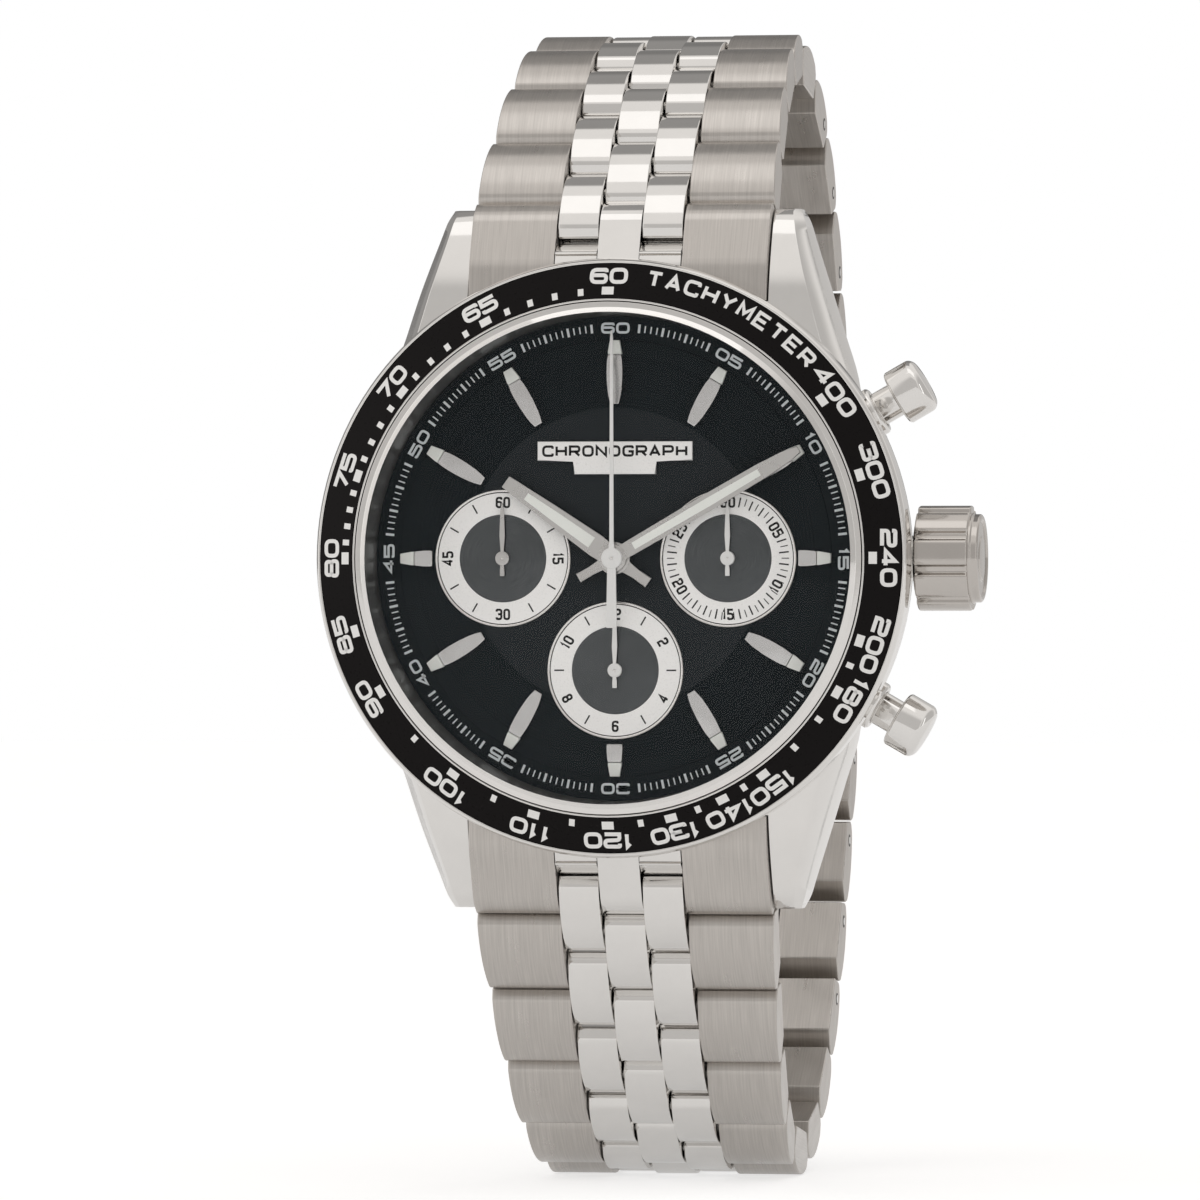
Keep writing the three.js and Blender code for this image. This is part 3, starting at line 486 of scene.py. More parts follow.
def turned(name, profile, setback, finish, body, stands_for=(), place=None, segments=ROUND,
           centre=(0.0, 0.0), steps=3, closed=True):
    """A turned piece with rounded corners and a circular grain."""
    bm = bmesh.new()
    add_turned(bm, profile, setback, segments, centre, steps, closed)
    grain_round(bm, centre)
    add_piece(name, bm, finish, body, stands_for, place)


def keep_node(node, finish):
    """A CAD node whose shape is right stays, with a better material."""
    obj = frame["nodes"][node]
    obj.data.materials.clear()
    obj.data.materials.append(M[finish])


# ---------------------------------------------------------------- printed figures
BEND = 0.30
STROKES = {
    "0": [(True, [(0, 0, BEND), (1, 0, BEND), (1, 1, BEND), (0, 1, BEND)])],
    "1": [(False, [(0.28, 0.76, 0), (0.66, 1, 0), (0.66, 0, 0)])],
    "2": [(False, [(0, 0.76, 0), (0, 1, BEND), (1, 1, BEND), (1, 0.52, 0.22), (0, 0.46, 0.22), (0, 0, 0),
                   (1, 0, 0)])],
    "3": [(False, [(0, 0.8, 0), (0, 1, BEND), (1, 1, BEND), (1, 0.52, 0.2), (0.3, 0.52, 0)]),
          (False, [(0.3, 0.52, 0), (1, 0.52, 0.2), (1, 0, BEND), (0, 0, BEND), (0, 0.2, 0)])],
    "4": [(False, [(0.72, 0, 0), (0.72, 1, 0), (0, 0.27, 0), (1, 0.27, 0)])],
    "5": [(False, [(1, 1, 0), (0, 1, 0), (0, 0.57, 0), (1, 0.57, BEND), (1, 0, BEND), (0, 0, BEND),
                   (0, 0.2, 0)])],
    "6": [(False, [(1, 0.8, 0), (1, 1, BEND), (0, 1, BEND), (0, 0, BEND), (1, 0, BEND), (1, 0.56, BEND),
                   (0.08, 0.56, 0)])],
    "7": [(False, [(0, 1, 0), (1, 1, 0), (0.36, 0, 0)])],
    "8": [(True, [(0, 0, BEND), (1, 0, BEND), (1, 0.52, 0.2), (0, 0.52, 0.2)]),
          (True, [(0.05, 0.52, 0.2), (0.95, 0.52, 0.2), (0.95, 1, BEND), (0.05, 1, BEND)])],
    "9": [(False, [(0, 0.2, 0), (0, 0, BEND), (1, 0, BEND), (1, 1, BEND), (0, 1, BEND), (0, 0.44, BEND),
                   (0.92, 0.44, 0)])],
    "A": [(False, [(0, 0, 0), (0.5, 1, 0), (1, 0, 0)]), (False, [(0.2, 0.3, 0), (0.8, 0.3, 0)])],
    "C": [(False, [(1, 0.76, 0), (1, 1, BEND), (0, 1, BEND), (0, 0, BEND), (1, 0, BEND), (1, 0.24, 0)])],
    "E": [(False, [(1, 1, 0), (0, 1, 0), (0, 0, 0), (1, 0, 0)]), (False, [(0, 0.5, 0), (0.85, 0.5, 0)])],
    "G": [(False, [(1, 0.78, 0), (1, 1, BEND), (0, 1, BEND), (0, 0, BEND), (1, 0, BEND), (1, 0.46, 0),
                   (0.55, 0.46, 0)])],
    "H": [(False, [(0, 0, 0), (0, 1, 0)]), (False, [(1, 0, 0), (1, 1, 0)]),
          (False, [(0, 0.5, 0), (1, 0.5, 0)])],
    "M": [(False, [(0, 0, 0), (0, 1, 0), (0.5, 0.3, 0), (1, 1, 0), (1, 0, 0)])],
    "N": [(False, [(0, 0, 0), (0, 1, 0), (1, 0, 0), (1, 1, 0)])],
    "P": [(False, [(0, 0, 0), (0, 1, 0), (1, 1, BEND), (1, 0.42, BEND), (0, 0.42, 0)])],
    "R": [(False, [(0, 0, 0), (0, 1, 0), (1, 1, BEND), (1, 0.44, BEND), (0, 0.44, 0)]),
          (False, [(0.55, 0.44, 0), (1, 0, 0)])],
    "T": [(False, [(0, 1, 0), (1, 1, 0)]), (False, [(0.5, 1, 0), (0.5, 0, 0)])],
    "Y": [(False, [(0, 1, 0), (0.5, 0.45, 0), (1, 1, 0)]), (False, [(0.5, 0.45, 0), (0.5, 0, 0)])],
}
STROKES["O"] = STROKES["0"]


def offsets(points, closed, half):
    """Left and right edge of a stroke along a line, with mitred corners."""
    count = len(points)
    left, right = [], []
    for i, point in enumerate(points):
        here = Vector(point)
        before = Vector(points[i - 1]) if closed or i > 0 else None
        after = Vector(points[(i + 1) % count]) if closed or i < count - 1 else None
        incoming = (here - before).normalized() if before is not None else (after - here).normalized()
        outgoing = (after - here).normalized() if after is not None else incoming
        normal_in = Vector((-incoming.y, incoming.x))
        normal_out = Vector((-outgoing.y, outgoing.x))
        middle = normal_in + normal_out
        if middle.length < 1e-3:
            middle = normal_in
        middle.normalize()
        reach = half / max(middle.dot(normal_in), 0.45)
        left.append(here + middle * reach)
        right.append(here - middle * reach)
    return left, right


def add_stroke(bm, points, closed, half, lay, height):
    """Adds a raised ribbon; lay(x, y, h) gives a point h above the printed surface."""
    left, right = offsets(points, closed, half)
    rows = []
    for a, b in zip(left, right):
        rows.append([bm.verts.new(lay(p.x, p.y, h)) for h in (height, -0.01) for p in (a, b)])
    last = len(rows) if closed else len(rows) - 1
    for i in range(last):
        top_a, top_b, low_a, low_b = rows[i]
        next_top_a, next_top_b, next_low_a, next_low_b = rows[(i + 1) % len(rows)]
        bm.faces.new((top_a, next_top_a, next_top_b, top_b))
        bm.faces.new((low_b, next_low_b, next_low_a, low_a))
        bm.faces.new((low_a, next_low_a, next_top_a, top_a))
        bm.faces.new((top_b, next_top_b, next_low_b, low_b))
    if not closed:
        for top_a, top_b, low_a, low_b in (rows[0], rows[-1]):
            bm.faces.new((top_a, top_b, low_b, low_a))


def add_text(bm, text, size, stroke, gap, lay, height=0.02, narrow=()):
    """Adds a word centred on the origin of `lay`. size is (width, height) of a figure."""
    widths = [size[0] * (0.62 if c in narrow else 1.0) for c in text]
    total = sum(widths) + gap * (len(text) - 1)
    x = -total / 2
    for character, width in zip(text, widths):
        inner_w, inner_h = width - stroke, size[1] - stroke
        for closed, corners in STROKES[character]:
            points = [(x + stroke / 2 + u * inner_w, -inner_h / 2 + v * inner_h) for u, v, _ in corners]
            setbacks = [r * size[1] for _, _, r in corners]
            line = rounded(points, setbacks, 4, closed)
            add_stroke(bm, line, closed, stroke / 2, lay, height)
        x += width + gap


def clock(angle, radius, x, y, tops_out=True):
    """Plan point of (x, y) in a frame at `radius` and `angle` clockwise from 12 o'clock, in degrees."""
    turn = math.radians(angle)
    out = Vector((math.sin(turn), math.cos(turn)))
    along = Vector((math.cos(turn), -math.sin(turn)))
    sign = 1 if tops_out else -1
    return out * (radius + sign * y) + along * (sign * x)


def flat_lay(angle, radius, z, centre=(0.0, 0.0), tops_out=True):
    def lay(x, y, h):
        p = clock(angle, radius, x, y, tops_out)
        return (centre[0] + p.x, centre[1] + p.y, z + h)
    return lay


def cone_z(radius):
    slope = (INSERT_OUTER_Z - BEZEL_TOP) / (INSERT_OUTER_R - INSERT_INNER_R)
    return BEZEL_TOP + (radius - INSERT_INNER_R) * slope


def cone_lay(angle, radius):
    def lay(x, y, h):
        p = clock(angle, radius, x, y)
        return (p.x, p.y, cone_z(p.length) + h)
    return lay


def add_tick(bm, r0, r1, width, lay, height=0.02):
    """Adds a radial bar; lay's own radius is zero."""
    add_stroke(bm, [(0.0, r0), (0.0, r1)], False, width / 2, lay, height)


# ---------------------------------------------------------------- case
def smooth_stations(stations, steps):
    """Runs a smooth curve through a list of stations, `steps` intervals to each gap."""
    result = []
    last = len(stations) - 1
    for i in range(last):
        a, b, c, d = (Vector(stations[max(min(k, last), 0)]) for k in (i - 1, i, i + 1, i + 2))
        for k in range(steps):
            t = k / steps
            result.append((b * 2 + (c - a) * t + (a * 2 - b * 5 + c * 4 - d) * t * t
                           + (b * 3 - a - c * 3 + d) * t ** 3) / 2)
    result.append(Vector(stations[-1]))
    return [tuple(station) for station in result]


def add_lug(bm, sx, sy):
    """A lug lofted along y, with a broad top and a bevel on its outer edge."""
    inner = LUG_GAP / 2
    tip = LUG_TIP_Y - 0.1
    stations = [
        (9.0, 16.9, 8.55, 2.3, 1.6), (12.7, 16.3, 8.5, 1.7, 1.7), (15.7, 15.35, 8.35, 1.3, 1.7),
        (18.4, 14.5, 7.95, 1.05, 1.55), (20.4, 13.85, 7.3, 0.9, 1.4), (22.4, 13.2, 6.35, 0.7, 1.2),
        (23.7, 12.8, 5.55, 0.7, 1.0), (tip - 0.2, 12.5, 4.7, 1.1, 0.8), (tip + 0.05, 12.42, 4.1, 1.6, 0.6),
    ]
    rings = []
    for y, outer, top, bottom, chamfer in smooth_stations(stations, 4):
        side_drop = min(chamfer * 1.15, (top - bottom) * 0.45)
        across = min(chamfer * 0.62, (outer - inner) * 0.6)
        ring = [
            (inner, top), (outer - across, top - 0.12), (outer, top - side_drop),
            (outer, bottom + 0.5), (outer - 0.5, bottom), (inner, bottom),
        ]
        rings.append([bm.verts.new((x * sx, y * sy, z)) for x, z in ring])
    for a, b in zip(rings, rings[1:]):
        for k in range(len(a)):
            j = (k + 1) % len(a)
            bm.faces.new((a[k], a[j], b[j], b[k]))
    bm.faces.new(rings[0])
    bm.faces.new(rings[-1])


def make_case():
    bm = bmesh.new()
    for sx, sy in ((1, 1), (-1, 1), (-1, -1), (1, -1)):
        add_lug(bm, sx, sy)
    bevel_sharp(bm, 0.11, 3, limit=33.0)
    body = [
        (18.4, 0.95), (BACK_R + 0.6, CASE_BOTTOM), (CASE_R - 0.55, 2.5), (CASE_R, 4.1),
        (CASE_R, CASE_TOP - 0.75), (CASE_R - 0.4, CASE_TOP - 0.05), (18.0, CASE_TOP - 0.05), (18.0, 2.0),
    ]
    add_lathe(bm, rounded(body, [0.05, 0.3, 0.6, 0.8, 0.2, 0.1, 0, 0], 4))
    grain_round(bm)
    add_piece("case_body", bm, "polished", "head", ["case_middle"], sharp=30.0)
    turned("bezel_steel", [
        (17.97, CASE_TOP + 0.03), (BEZEL_R - 0.3, CASE_TOP + 0.03), (BEZEL_R, CASE_TOP + 0.35),
        (BEZEL_R, 10.75), (BEZEL_R - 0.22, INSERT_OUTER_Z + 0.03), (INSERT_OUTER_R + 0.03, INSERT_OUTER_Z),
        (INSERT_OUTER_R + 0.03, INSERT_OUTER_Z - 0.25), (INSERT_INNER_R - 0.03, BEZEL_TOP - 0.25),
        (INSERT_INNER_R - 0.03, BEZEL_TOP), (17.97, BEZEL_TOP),
    ], [0.05, 0.2, 0.25, 0.3, 0.12, 0.04, 0, 0, 0.05, 0.05], "polished", "head", ["bezel_ring"])
    turned("tachymeter_insert", [
        (INSERT_INNER_R, BEZEL_TOP - 0.5), (INSERT_OUTER_R, INSERT_OUTER_Z - 0.5),
        (INSERT_OUTER_R, INSERT_OUTER_Z), (INSERT_INNER_R, BEZEL_TOP),
    ], [0, 0, 0.08, 0.05], "insert", "head", ["bezel_insert"])
    foot = FLANGE_TOP + 0.05
    turned("sapphire_crystal", [
        (0, CRYSTAL_TOP - 1.6), (9, CRYSTAL_TOP - 1.85), (16.4, FLANGE_TOP + 0.4), (16.4, foot),
        (CRYSTAL_R, foot), (CRYSTAL_R, 12.55), (CRYSTAL_R - 0.4, 12.9), (13, 13.35), (9, 13.62), (4.5, 13.8),
        (0, CRYSTAL_TOP),
    ], [0, 0.5, 0.1, 0, 0, 0.1, 0.15, 1.5, 1.5, 1.5, 0], "glass", "head", ["crystal"], closed=False)
    turned("crystal_edge_polish", [
        (CRYSTAL_R - 0.32, 12.72), (CRYSTAL_R + 0.03, 12.38), (CRYSTAL_R + 0.4, 12.38),
        (CRYSTAL_R + 0.4, 12.3), (CRYSTAL_R - 0.1, 12.3),
    ], 0.03, "polished", "head")
    turned("rehaut", [
        (DIAL_OPENING_R, DIAL_TOP + 0.05), (DIAL_OPENING_R + 0.85, DIAL_TOP + 0.05),
        (DIAL_OPENING_R + 0.85, FLANGE_TOP), (DIAL_OPENING_R + 0.6, FLANGE_TOP),
        (DIAL_OPENING_R + 0.12, DIAL_TOP + 0.4),
    ], [0.03, 0, 0, 0.05, 0.05], "rehaut", "head", ["dial_flange"])


def make_case_back():
    notches, notch_half, notch_depth = 6, 4.1, 0.5
    bm = bmesh.new()
    inner = GLASS_R + 0.05
    profile = rounded([
        (inner, 0.25), (inner + 0.25, 0.0), (16.6, 0.0), (16.75, 0.12), (17.55, 0.12), (17.7, 0.02),
        (BACK_R - 0.35, 0.02), (BACK_R, 0.45), (BACK_R, BACK_T), (14.4, BACK_T), (14.4, GLASS_T + 0.05),
        (inner, GLASS_T + 0.05),
    ], 0.06, 2)
    add_lathe(bm, profile, ROUND)
    for vert in bm.verts:
        radius = math.hypot(vert.co.x, vert.co.y)
        step = math.degrees(math.atan2(vert.co.y, vert.co.x)) % (360 / notches)
        if radius > 16.8 and vert.co.z < 0.3 and abs(step - 180 / notches) < notch_half:
            vert.co.z += notch_depth
    grain_round(bm)
    add_piece("case_back_ring", bm, "brushed_ring", "head", ["case_back"])
    turned("display_glass", [
        (0, 0.03), (GLASS_R - 0.3, 0.03), (GLASS_R, 0.3), (GLASS_R, GLASS_T), (0, GLASS_T),
    ], [0, 0.1, 0.1, 0, 0], "back_glass", "head", ["case_back_glass"], closed=False)


# ---------------------------------------------------------------- bezel figures
TACHYMETER = [60, 65, 70, 75, 80, 85, 90, 100, 110, 120, 130, 140, 150, 180, 200, 240, 300, 400]
BETWEEN = [61, 62, 63, 64, 66, 67, 68, 69, 71, 72, 73, 74, 76, 77, 78, 79, 95, 105, 115, 125, 135, 145,
           160, 170, 190]
FIGURE_R = 19.72
FIGURE_SIZE = (1.30, 1.14)
LETTER_SIZE = (1.12, 1.14)
LETTER_PITCH = 1.36
WORD_ANGLE = 27.3
SQUARE_R = (18.4, 18.95)


def speed_angle(speed):
    """Where the seconds hand points after one unit of way at this many units an hour."""
    return 3600 / speed * 6


def make_bezel_figures():
    bm = bmesh.new()
    for speed in TACHYMETER:
        angle = speed_angle(speed)
        gap = 0.10 if speed < 100 else 0.07
        add_text(bm, str(speed), FIGURE_SIZE, 0.27, gap, cone_lay(angle, FIGURE_R), narrow="1")
        add_tick(bm, *SQUARE_R, 0.84, cone_lay(angle, 0.0))
    for speed in BETWEEN:
        add_tick(bm, SQUARE_R[0], SQUARE_R[1] - 0.06, 0.40, cone_lay(speed_angle(speed), 0.0))
    word = "TACHYMETER"
    letter_turn = math.degrees(LETTER_PITCH / FIGURE_R)
    for i, letter in enumerate(word):
        angle = WORD_ANGLE + (i - (len(word) - 1) / 2) * letter_turn
        add_text(bm, letter, LETTER_SIZE, 0.24, 0, cone_lay(angle, FIGURE_R))
    add_piece("tachymeter_scale", bm, "bezel_print", "head")


# ---------------------------------------------------------------- dial
MARKER_TIP_R = 15.3
MARKER_LONG_R = 10.8
MARKER_SHORT_R = 13.0
MARKER_LUME = 1.0
CENTRE_R = 10.55
MINUTE_FIGURE_R = 16.15
MINUTE_TICK = (15.87, 16.48)
QUARTER_TICK = (15.93, 16.42)
SUB_FIGURE_R = 3.93
SUB_TICK = (3.64, 4.33)
SUB_SHORT_TICK = (3.80, 4.33)
PLATE_LOWER_BAR = 0.95
PLATE_LOWER_HALF = 2.9
INK = 0.012
MARKER_HALF = [(10.8, 0.31), (11.7, 0.48), (12.7, 0.56), (13.6, 0.55), (14.5, 0.47), (15.3, 0.33)]


def marker_half(radius):
    for (r0, h0), (r1, h1) in zip(MARKER_HALF, MARKER_HALF[1:]):
        if radius <= r1:
            return h0 + (h1 - h0) * (radius - r0) / (r1 - r0)
    return MARKER_HALF[-1][1]


def add_marker(bm, r0, r1, angle, z0, z1, edge):
    steps = 8
    stations = [r0 + (r1 - r0) * k / steps for k in range(steps + 1)]
    outline = [clock(angle, r, marker_half(r), 0) for r in stations]
    outline += [clock(angle, r, -marker_half(r), 0) for r in reversed(stations)]
    top = add_slab(bm, [tuple(p) for p in outline], z0, z1)
    bevel_edges(bm, top, edge, 2)


def make_markers():
    steel, lume = bmesh.new(), bmesh.new()
    for hour in range(12):
        start = MARKER_SHORT_R if hour in (3, 6, 9) else MARKER_LONG_R
        angle = hour * 30
        lume_start = MARKER_TIP_R - MARKER_LUME
        add_marker(steel, start, lume_start, angle, DIAL_TOP, DIAL_TOP + 0.40, 0.11)
        add_marker(lume, lume_start + 0.02, MARKER_TIP_R, angle, DIAL_TOP, DIAL_TOP + 0.34, 0.06)
    add_piece("hour_markers", steel, "markers", "head")
    add_piece("marker_lume", lume, "lume", "head")


def make_dial():
    z = DIAL_TOP
    grooves = []
    count = round((GROOVE_END_R - GROOVE_START_R) / GROOVE_PITCH)
    for k in range(count):
        r = GROOVE_START_R + k * GROOVE_PITCH
        floor = z - GROOVE_DEPTH - 0.005
        grooves += [(r, z - 0.005), (r + 0.07, floor), (r + 0.14, floor)]
    profile = [
        (CENTRE_R, z - 0.15), (CENTRE_R, z), *grooves, (GROOVE_END_R + 0.1, z), (DIAL_STEP_R - 0.06, z),
        (DIAL_STEP_R, z - 0.05), (DIAL_EDGE_R, z - 0.05), (DIAL_EDGE_R, z - 0.5), (CENTRE_R, z - 0.5),
    ]
    bm = bmesh.new()
    add_lathe(bm, profile, 180)
    grain_round(bm)
    add_piece("dial_face", bm, "dial", "head", ["dial"], sharp=25.0)
    turned("dial_centre", [(0, z - 0.4), (CENTRE_R, z - 0.4), (CENTRE_R, z - 0.002), (0, z - 0.002)], 0,
           "dial_centre", "head", closed=False)
    make_markers()


def make_dial_figures():
    bm = bmesh.new()
    z = DIAL_TOP - 0.045
    for minute in range(60):
        angle = minute * 6
        if minute % 5 == 0:
            text = "60" if minute == 0 else f"{minute:02d}"
            add_text(bm, text, (0.97, 0.78), 0.17, 0.10, flat_lay(angle, MINUTE_FIGURE_R, z), narrow="1")
            continue
        add_tick(bm, *MINUTE_TICK, 0.17, flat_lay(angle, 0.0, z))
        if minute % 5 == 4:
            continue
        for quarter in (1, 2, 3):
            add_tick(bm, *QUARTER_TICK, 0.09, flat_lay(angle + quarter * 1.5, 0.0, z))
    add_piece("minute_scale", bm, "dial_print", "head")


SUBDIALS = {
    "small_seconds": {"figures": {0: "60", 90: "15", 180: "30", 270: "45"}, "step": 30},
    "minute_counter": {"figures": {0: "30", 60: "05", 120: "10", 180: "15", 240: "20", 300: "25"},
                       "step": 12},
    "hour_counter": {"figures": {0: "12", 60: "2", 120: "4", 180: "6", 240: "8", 300: "10"}, "step": 30},
}


def subdial_centre(name):
    low, high = head_box(f"{name}_ring")
    return ((low.x + high.x) / 2, (low.y + high.y) / 2)


def make_subdial(name):
    """The black middle, the silver ring and the steel rim of a sub-dial, with a gutter between them."""
    z, centre = DIAL_TOP, subdial_centre(name)
    turned(f"{name}_azure", [(0, z), (SUB_BLACK_R, z), (SUB_BLACK_R, z + 0.03), (0, z + 0.03)],
           [0, 0, 0.01, 0], "azure", "head", segments=SUB_ROUND, centre=centre, closed=False)
    turned(f"{name}_silver", [
        (SUB_BLACK_R - 0.04, z), (SUB_SILVER_R, z), (SUB_SILVER_R, z + 0.05),
        (SUB_BLACK_R + 0.03, z + 0.06), (SUB_BLACK_R - 0.04, z + 0.035),
    ], 0.01, "silver", "head", [f"{name}_ring"], segments=SUB_ROUND, centre=centre)
    turned(f"{name}_rim", [
        (SUB_SILVER_R + 0.06, z), (SUBDIAL_R, z), (SUBDIAL_R, z + 0.06),
        (SUBDIAL_R - 0.07, z + 0.13), (SUB_SILVER_R + 0.06, z + 0.08),
    ], 0.03, "polished", "head", segments=SUB_ROUND, centre=centre)
    turned(f"{name}_gutter", [
        (SUB_SILVER_R - 0.01, z), (SUB_SILVER_R + 0.07, z),
        (SUB_SILVER_R + 0.07, z + 0.02), (SUB_SILVER_R - 0.01, z + 0.02),
    ], 0, "black_print", "head", segments=SUB_ROUND, centre=centre)


def add_subdial_scale(ink, name, dial):
    surface, centre = DIAL_TOP + 0.055, subdial_centre(name)
    for angle, text in dial["figures"].items():
        tops_out = angle <= 90 or angle >= 270
        lay = flat_lay(angle, SUB_FIGURE_R, surface, centre, tops_out)
        add_text(ink, text, (0.48, 0.80), 0.145, 0.07, lay, INK, narrow="1")
    step = dial["step"]
    for angle in range(0, 360, step):
        clearance = min(abs((angle - figure + 180) % 360 - 180) for figure in dial["figures"])
        if clearance > 7:
            add_tick(ink, *SUB_TICK, 0.10, flat_lay(angle, 0.0, surface, centre), INK)
    if step < 30:
        for angle in range(step // 2, 360, step):
            add_tick(ink, *SUB_SHORT_TICK, 0.06, flat_lay(angle, 0.0, surface, centre), INK)


def make_subdials():
    ink = bmesh.new()
    for name, dial in SUBDIALS.items():
        make_subdial(name)
        add_subdial_scale(ink, name, dial)
    add_piece("subdial_scales", ink, "black_print", "head")


def make_dial_plate():
    """A wide bar with one word, and a shorter blank bar below it."""
    low, high = head_box("dial_plate")
    top = DIAL_TOP + 0.26
    split = low.y + PLATE_LOWER_BAR
    half = PLATE_LOWER_HALF
    outline = [
        (low.x, split), (low.x, high.y), (high.x, high.y), (high.x, split),
        (half, split), (half, low.y), (-half, low.y), (-half, split),
    ]
    bm = bmesh.new()
    bevel_edges(bm, add_slab(bm, outline, DIAL_TOP, top), 0.07)
    grain_straight(bm, 0)
    add_piece("name_plate", bm, "plate", "head", ["dial_plate"])
    ink = bmesh.new()
    middle = (split + high.y) / 2
    add_text(ink, "CHRONOGRAPH", (0.82, 0.80), 0.165, 0.13, flat_lay(0, middle, top), INK)
    add_piece("name_plate_ink", ink, "black_print", "head")


# ---------------------------------------------------------------- hands
HOUR_ANGLE = 305
MINUTE_ANGLE = 60
# distance along the hand and half its width there
HOUR_BLADE = [(-3.0, 0.40), (-1.9, 0.34), (-1.2, 0.42), (0.0, 0.72), (1.5, 0.80), (5.0, 0.68), (8.7, 0.50),
              (9.4, 0.46)]
HOUR_LUME = [(1.9, 0.42), (5.0, 0.36), (7.6, 0.27)]
MINUTE_BLADE = [(-2.8, 0.36), (-1.8, 0.30), (-1.1, 0.36), (0.0, 0.50), (1.6, 0.54), (8.0, 0.60),
                (12.2, 0.56), (14.4, 0.40), (15.2, 0.26)]
MINUTE_LUME = [(1.7, 0.26), (8.0, 0.30), (12.0, 0.25)]
CHRONO_BLADE = [(-4.88, 0.36), (-4.0, 0.36), (-0.6, 0.30), (0.6, 0.22), (1.2, 0.15), (15.4, 0.10),
                (15.95, 0.06)]
SUB_BLADE = [(-1.24, 0.16), (-0.75, 0.16), (-0.5, 0.11), (0.5, 0.11), (1.6, 0.19), (3.3, 0.13), (3.9, 0.05)]


def add_hand_blade(bm, stations, z0, z1, edge):
    """Adds a flat blade along +y through (distance, half width) stations."""
    right = [(half, y) for y, half in stations]
    left = [(-half, y) for y, half in reversed(stations)]
    bevel_edges(bm, add_slab(bm, right + left, z0, z1), edge)


def add_dished_hub(bm, z1, radius, depth, lift, bore, setback, segments):
    """Adds a hub whose top is `lift` above z1; bore is the small hole's radius above and below."""
    floor, top = z1 - 0.02, z1 + lift
    add_turned(bm, [(0, z1 - depth), (radius, z1 - depth), (radius, top), (bore[0], top + 0.01),
                    (bore[1], floor), (0, floor)], [0, 0, setback, 0.02, 0, 0], segments, closed=False)


def make_pin(name, node, z1, radius, height, dome_height, setback, segments, place=None):
    bm = bmesh.new()
    add_turned(bm, [(0, z1), (radius, z1), (radius, z1 + height), (0, z1 + dome_height)],
               [0, 0, setback, 0], segments, steps=2, closed=False)
    add_piece(name, bm, "polished", node, (), place)


def hand_place(angle, centre=(0.0, 0.0)):
    return Matrix.Translation((*centre, 0)) @ Matrix.Rotation(-math.radians(angle), 4, "Z")


def make_main_hand(node, angle, stations, lume_stations, hub_r):
    z1 = head_box(node)[1].z - 0.05
    bm = bmesh.new()
    add_hand_blade(bm, stations, z1 - 0.16, z1, 0.05)
    add_turned(bm, [(0, z1 - 0.4), (hub_r, z1 - 0.4), (hub_r, z1 + 0.04), (0, z1 + 0.05)],
               [0, 0, 0.06, 0], 64, closed=False)
    grain_straight(bm)
    place = hand_place(angle)
    add_piece(f"{node}_steel", bm, "hands", node, [node], place)
    lume = bmesh.new()
    add_hand_blade(lume, lume_stations, z1 - 0.05, z1 + 0.03, 0.03)
    add_piece(f"{node}_lume", lume, "lume", node, (), place)


def make_chrono_hand():
    node = "chrono_seconds_hand"
    z1 = head_box(node)[1].z - 0.06
    bm = bmesh.new()
    add_hand_blade(bm, CHRONO_BLADE, z1 - 0.15, z1, 0.03)
    add_dished_hub(bm, z1, 0.74, 0.5, 0.04, (0.14, 0.12), 0.08, 64)
    add_piece("chrono_hand_white", bm, "white", node, [node])
    make_pin("chrono_hand_pin", node, z1, 0.09, 0.05, 0.06, 0.03, 24)


def make_sub_hand(name, finish):
    node = f"{name}_hand"
    place = hand_place(0, subdial_centre(name))
    z1 = head_box(node)[1].z - 0.06
    bm = bmesh.new()
    add_hand_blade(bm, SUB_BLADE, z1 - 0.12, z1, 0.025)
    add_dished_hub(bm, z1, 0.50, 0.3, 0.03, (0.11, 0.10), 0.05, 48)
    grain_straight(bm)
    add_piece(f"{name}_pointer", bm, finish, node, [node], place)
    make_pin(f"{name}_pin", node, z1, 0.07, 0.04, 0.045, 0.02, 20, place)


def make_hands():
    make_main_hand("hour_hand", HOUR_ANGLE, HOUR_BLADE, HOUR_LUME, 1.15)
    make_main_hand("minute_hand", MINUTE_ANGLE, MINUTE_BLADE, MINUTE_LUME, 0.98)
    make_chrono_hand()
    make_sub_hand("small_seconds", "hands")
    make_sub_hand("minute_counter", "white")
    make_sub_hand("hour_counter", "white")


# ---------------------------------------------------------------- crown and pushers
CROWN_DISC_T = 0.7
CROWN_LOBES = 9
CROWN_GROOVE = 0.38
CROWN_DISC_R = 3.1
PUSHER_STEM_R = 1.2
PUSHER_CAP = 2.5
PUSHER_ANGLES = {"pusher_upper": 30, "pusher_lower": -30}


def radial_place(angle):
    """Places geometry drawn about z along a plan direction, at the height of the stem."""
    return (Matrix.Translation((0, 0, STEM_Z)) @ Matrix.Rotation(math.radians(angle), 4, "Z")
            @ Matrix.Rotation(math.pi / 2, 4, "Y"))


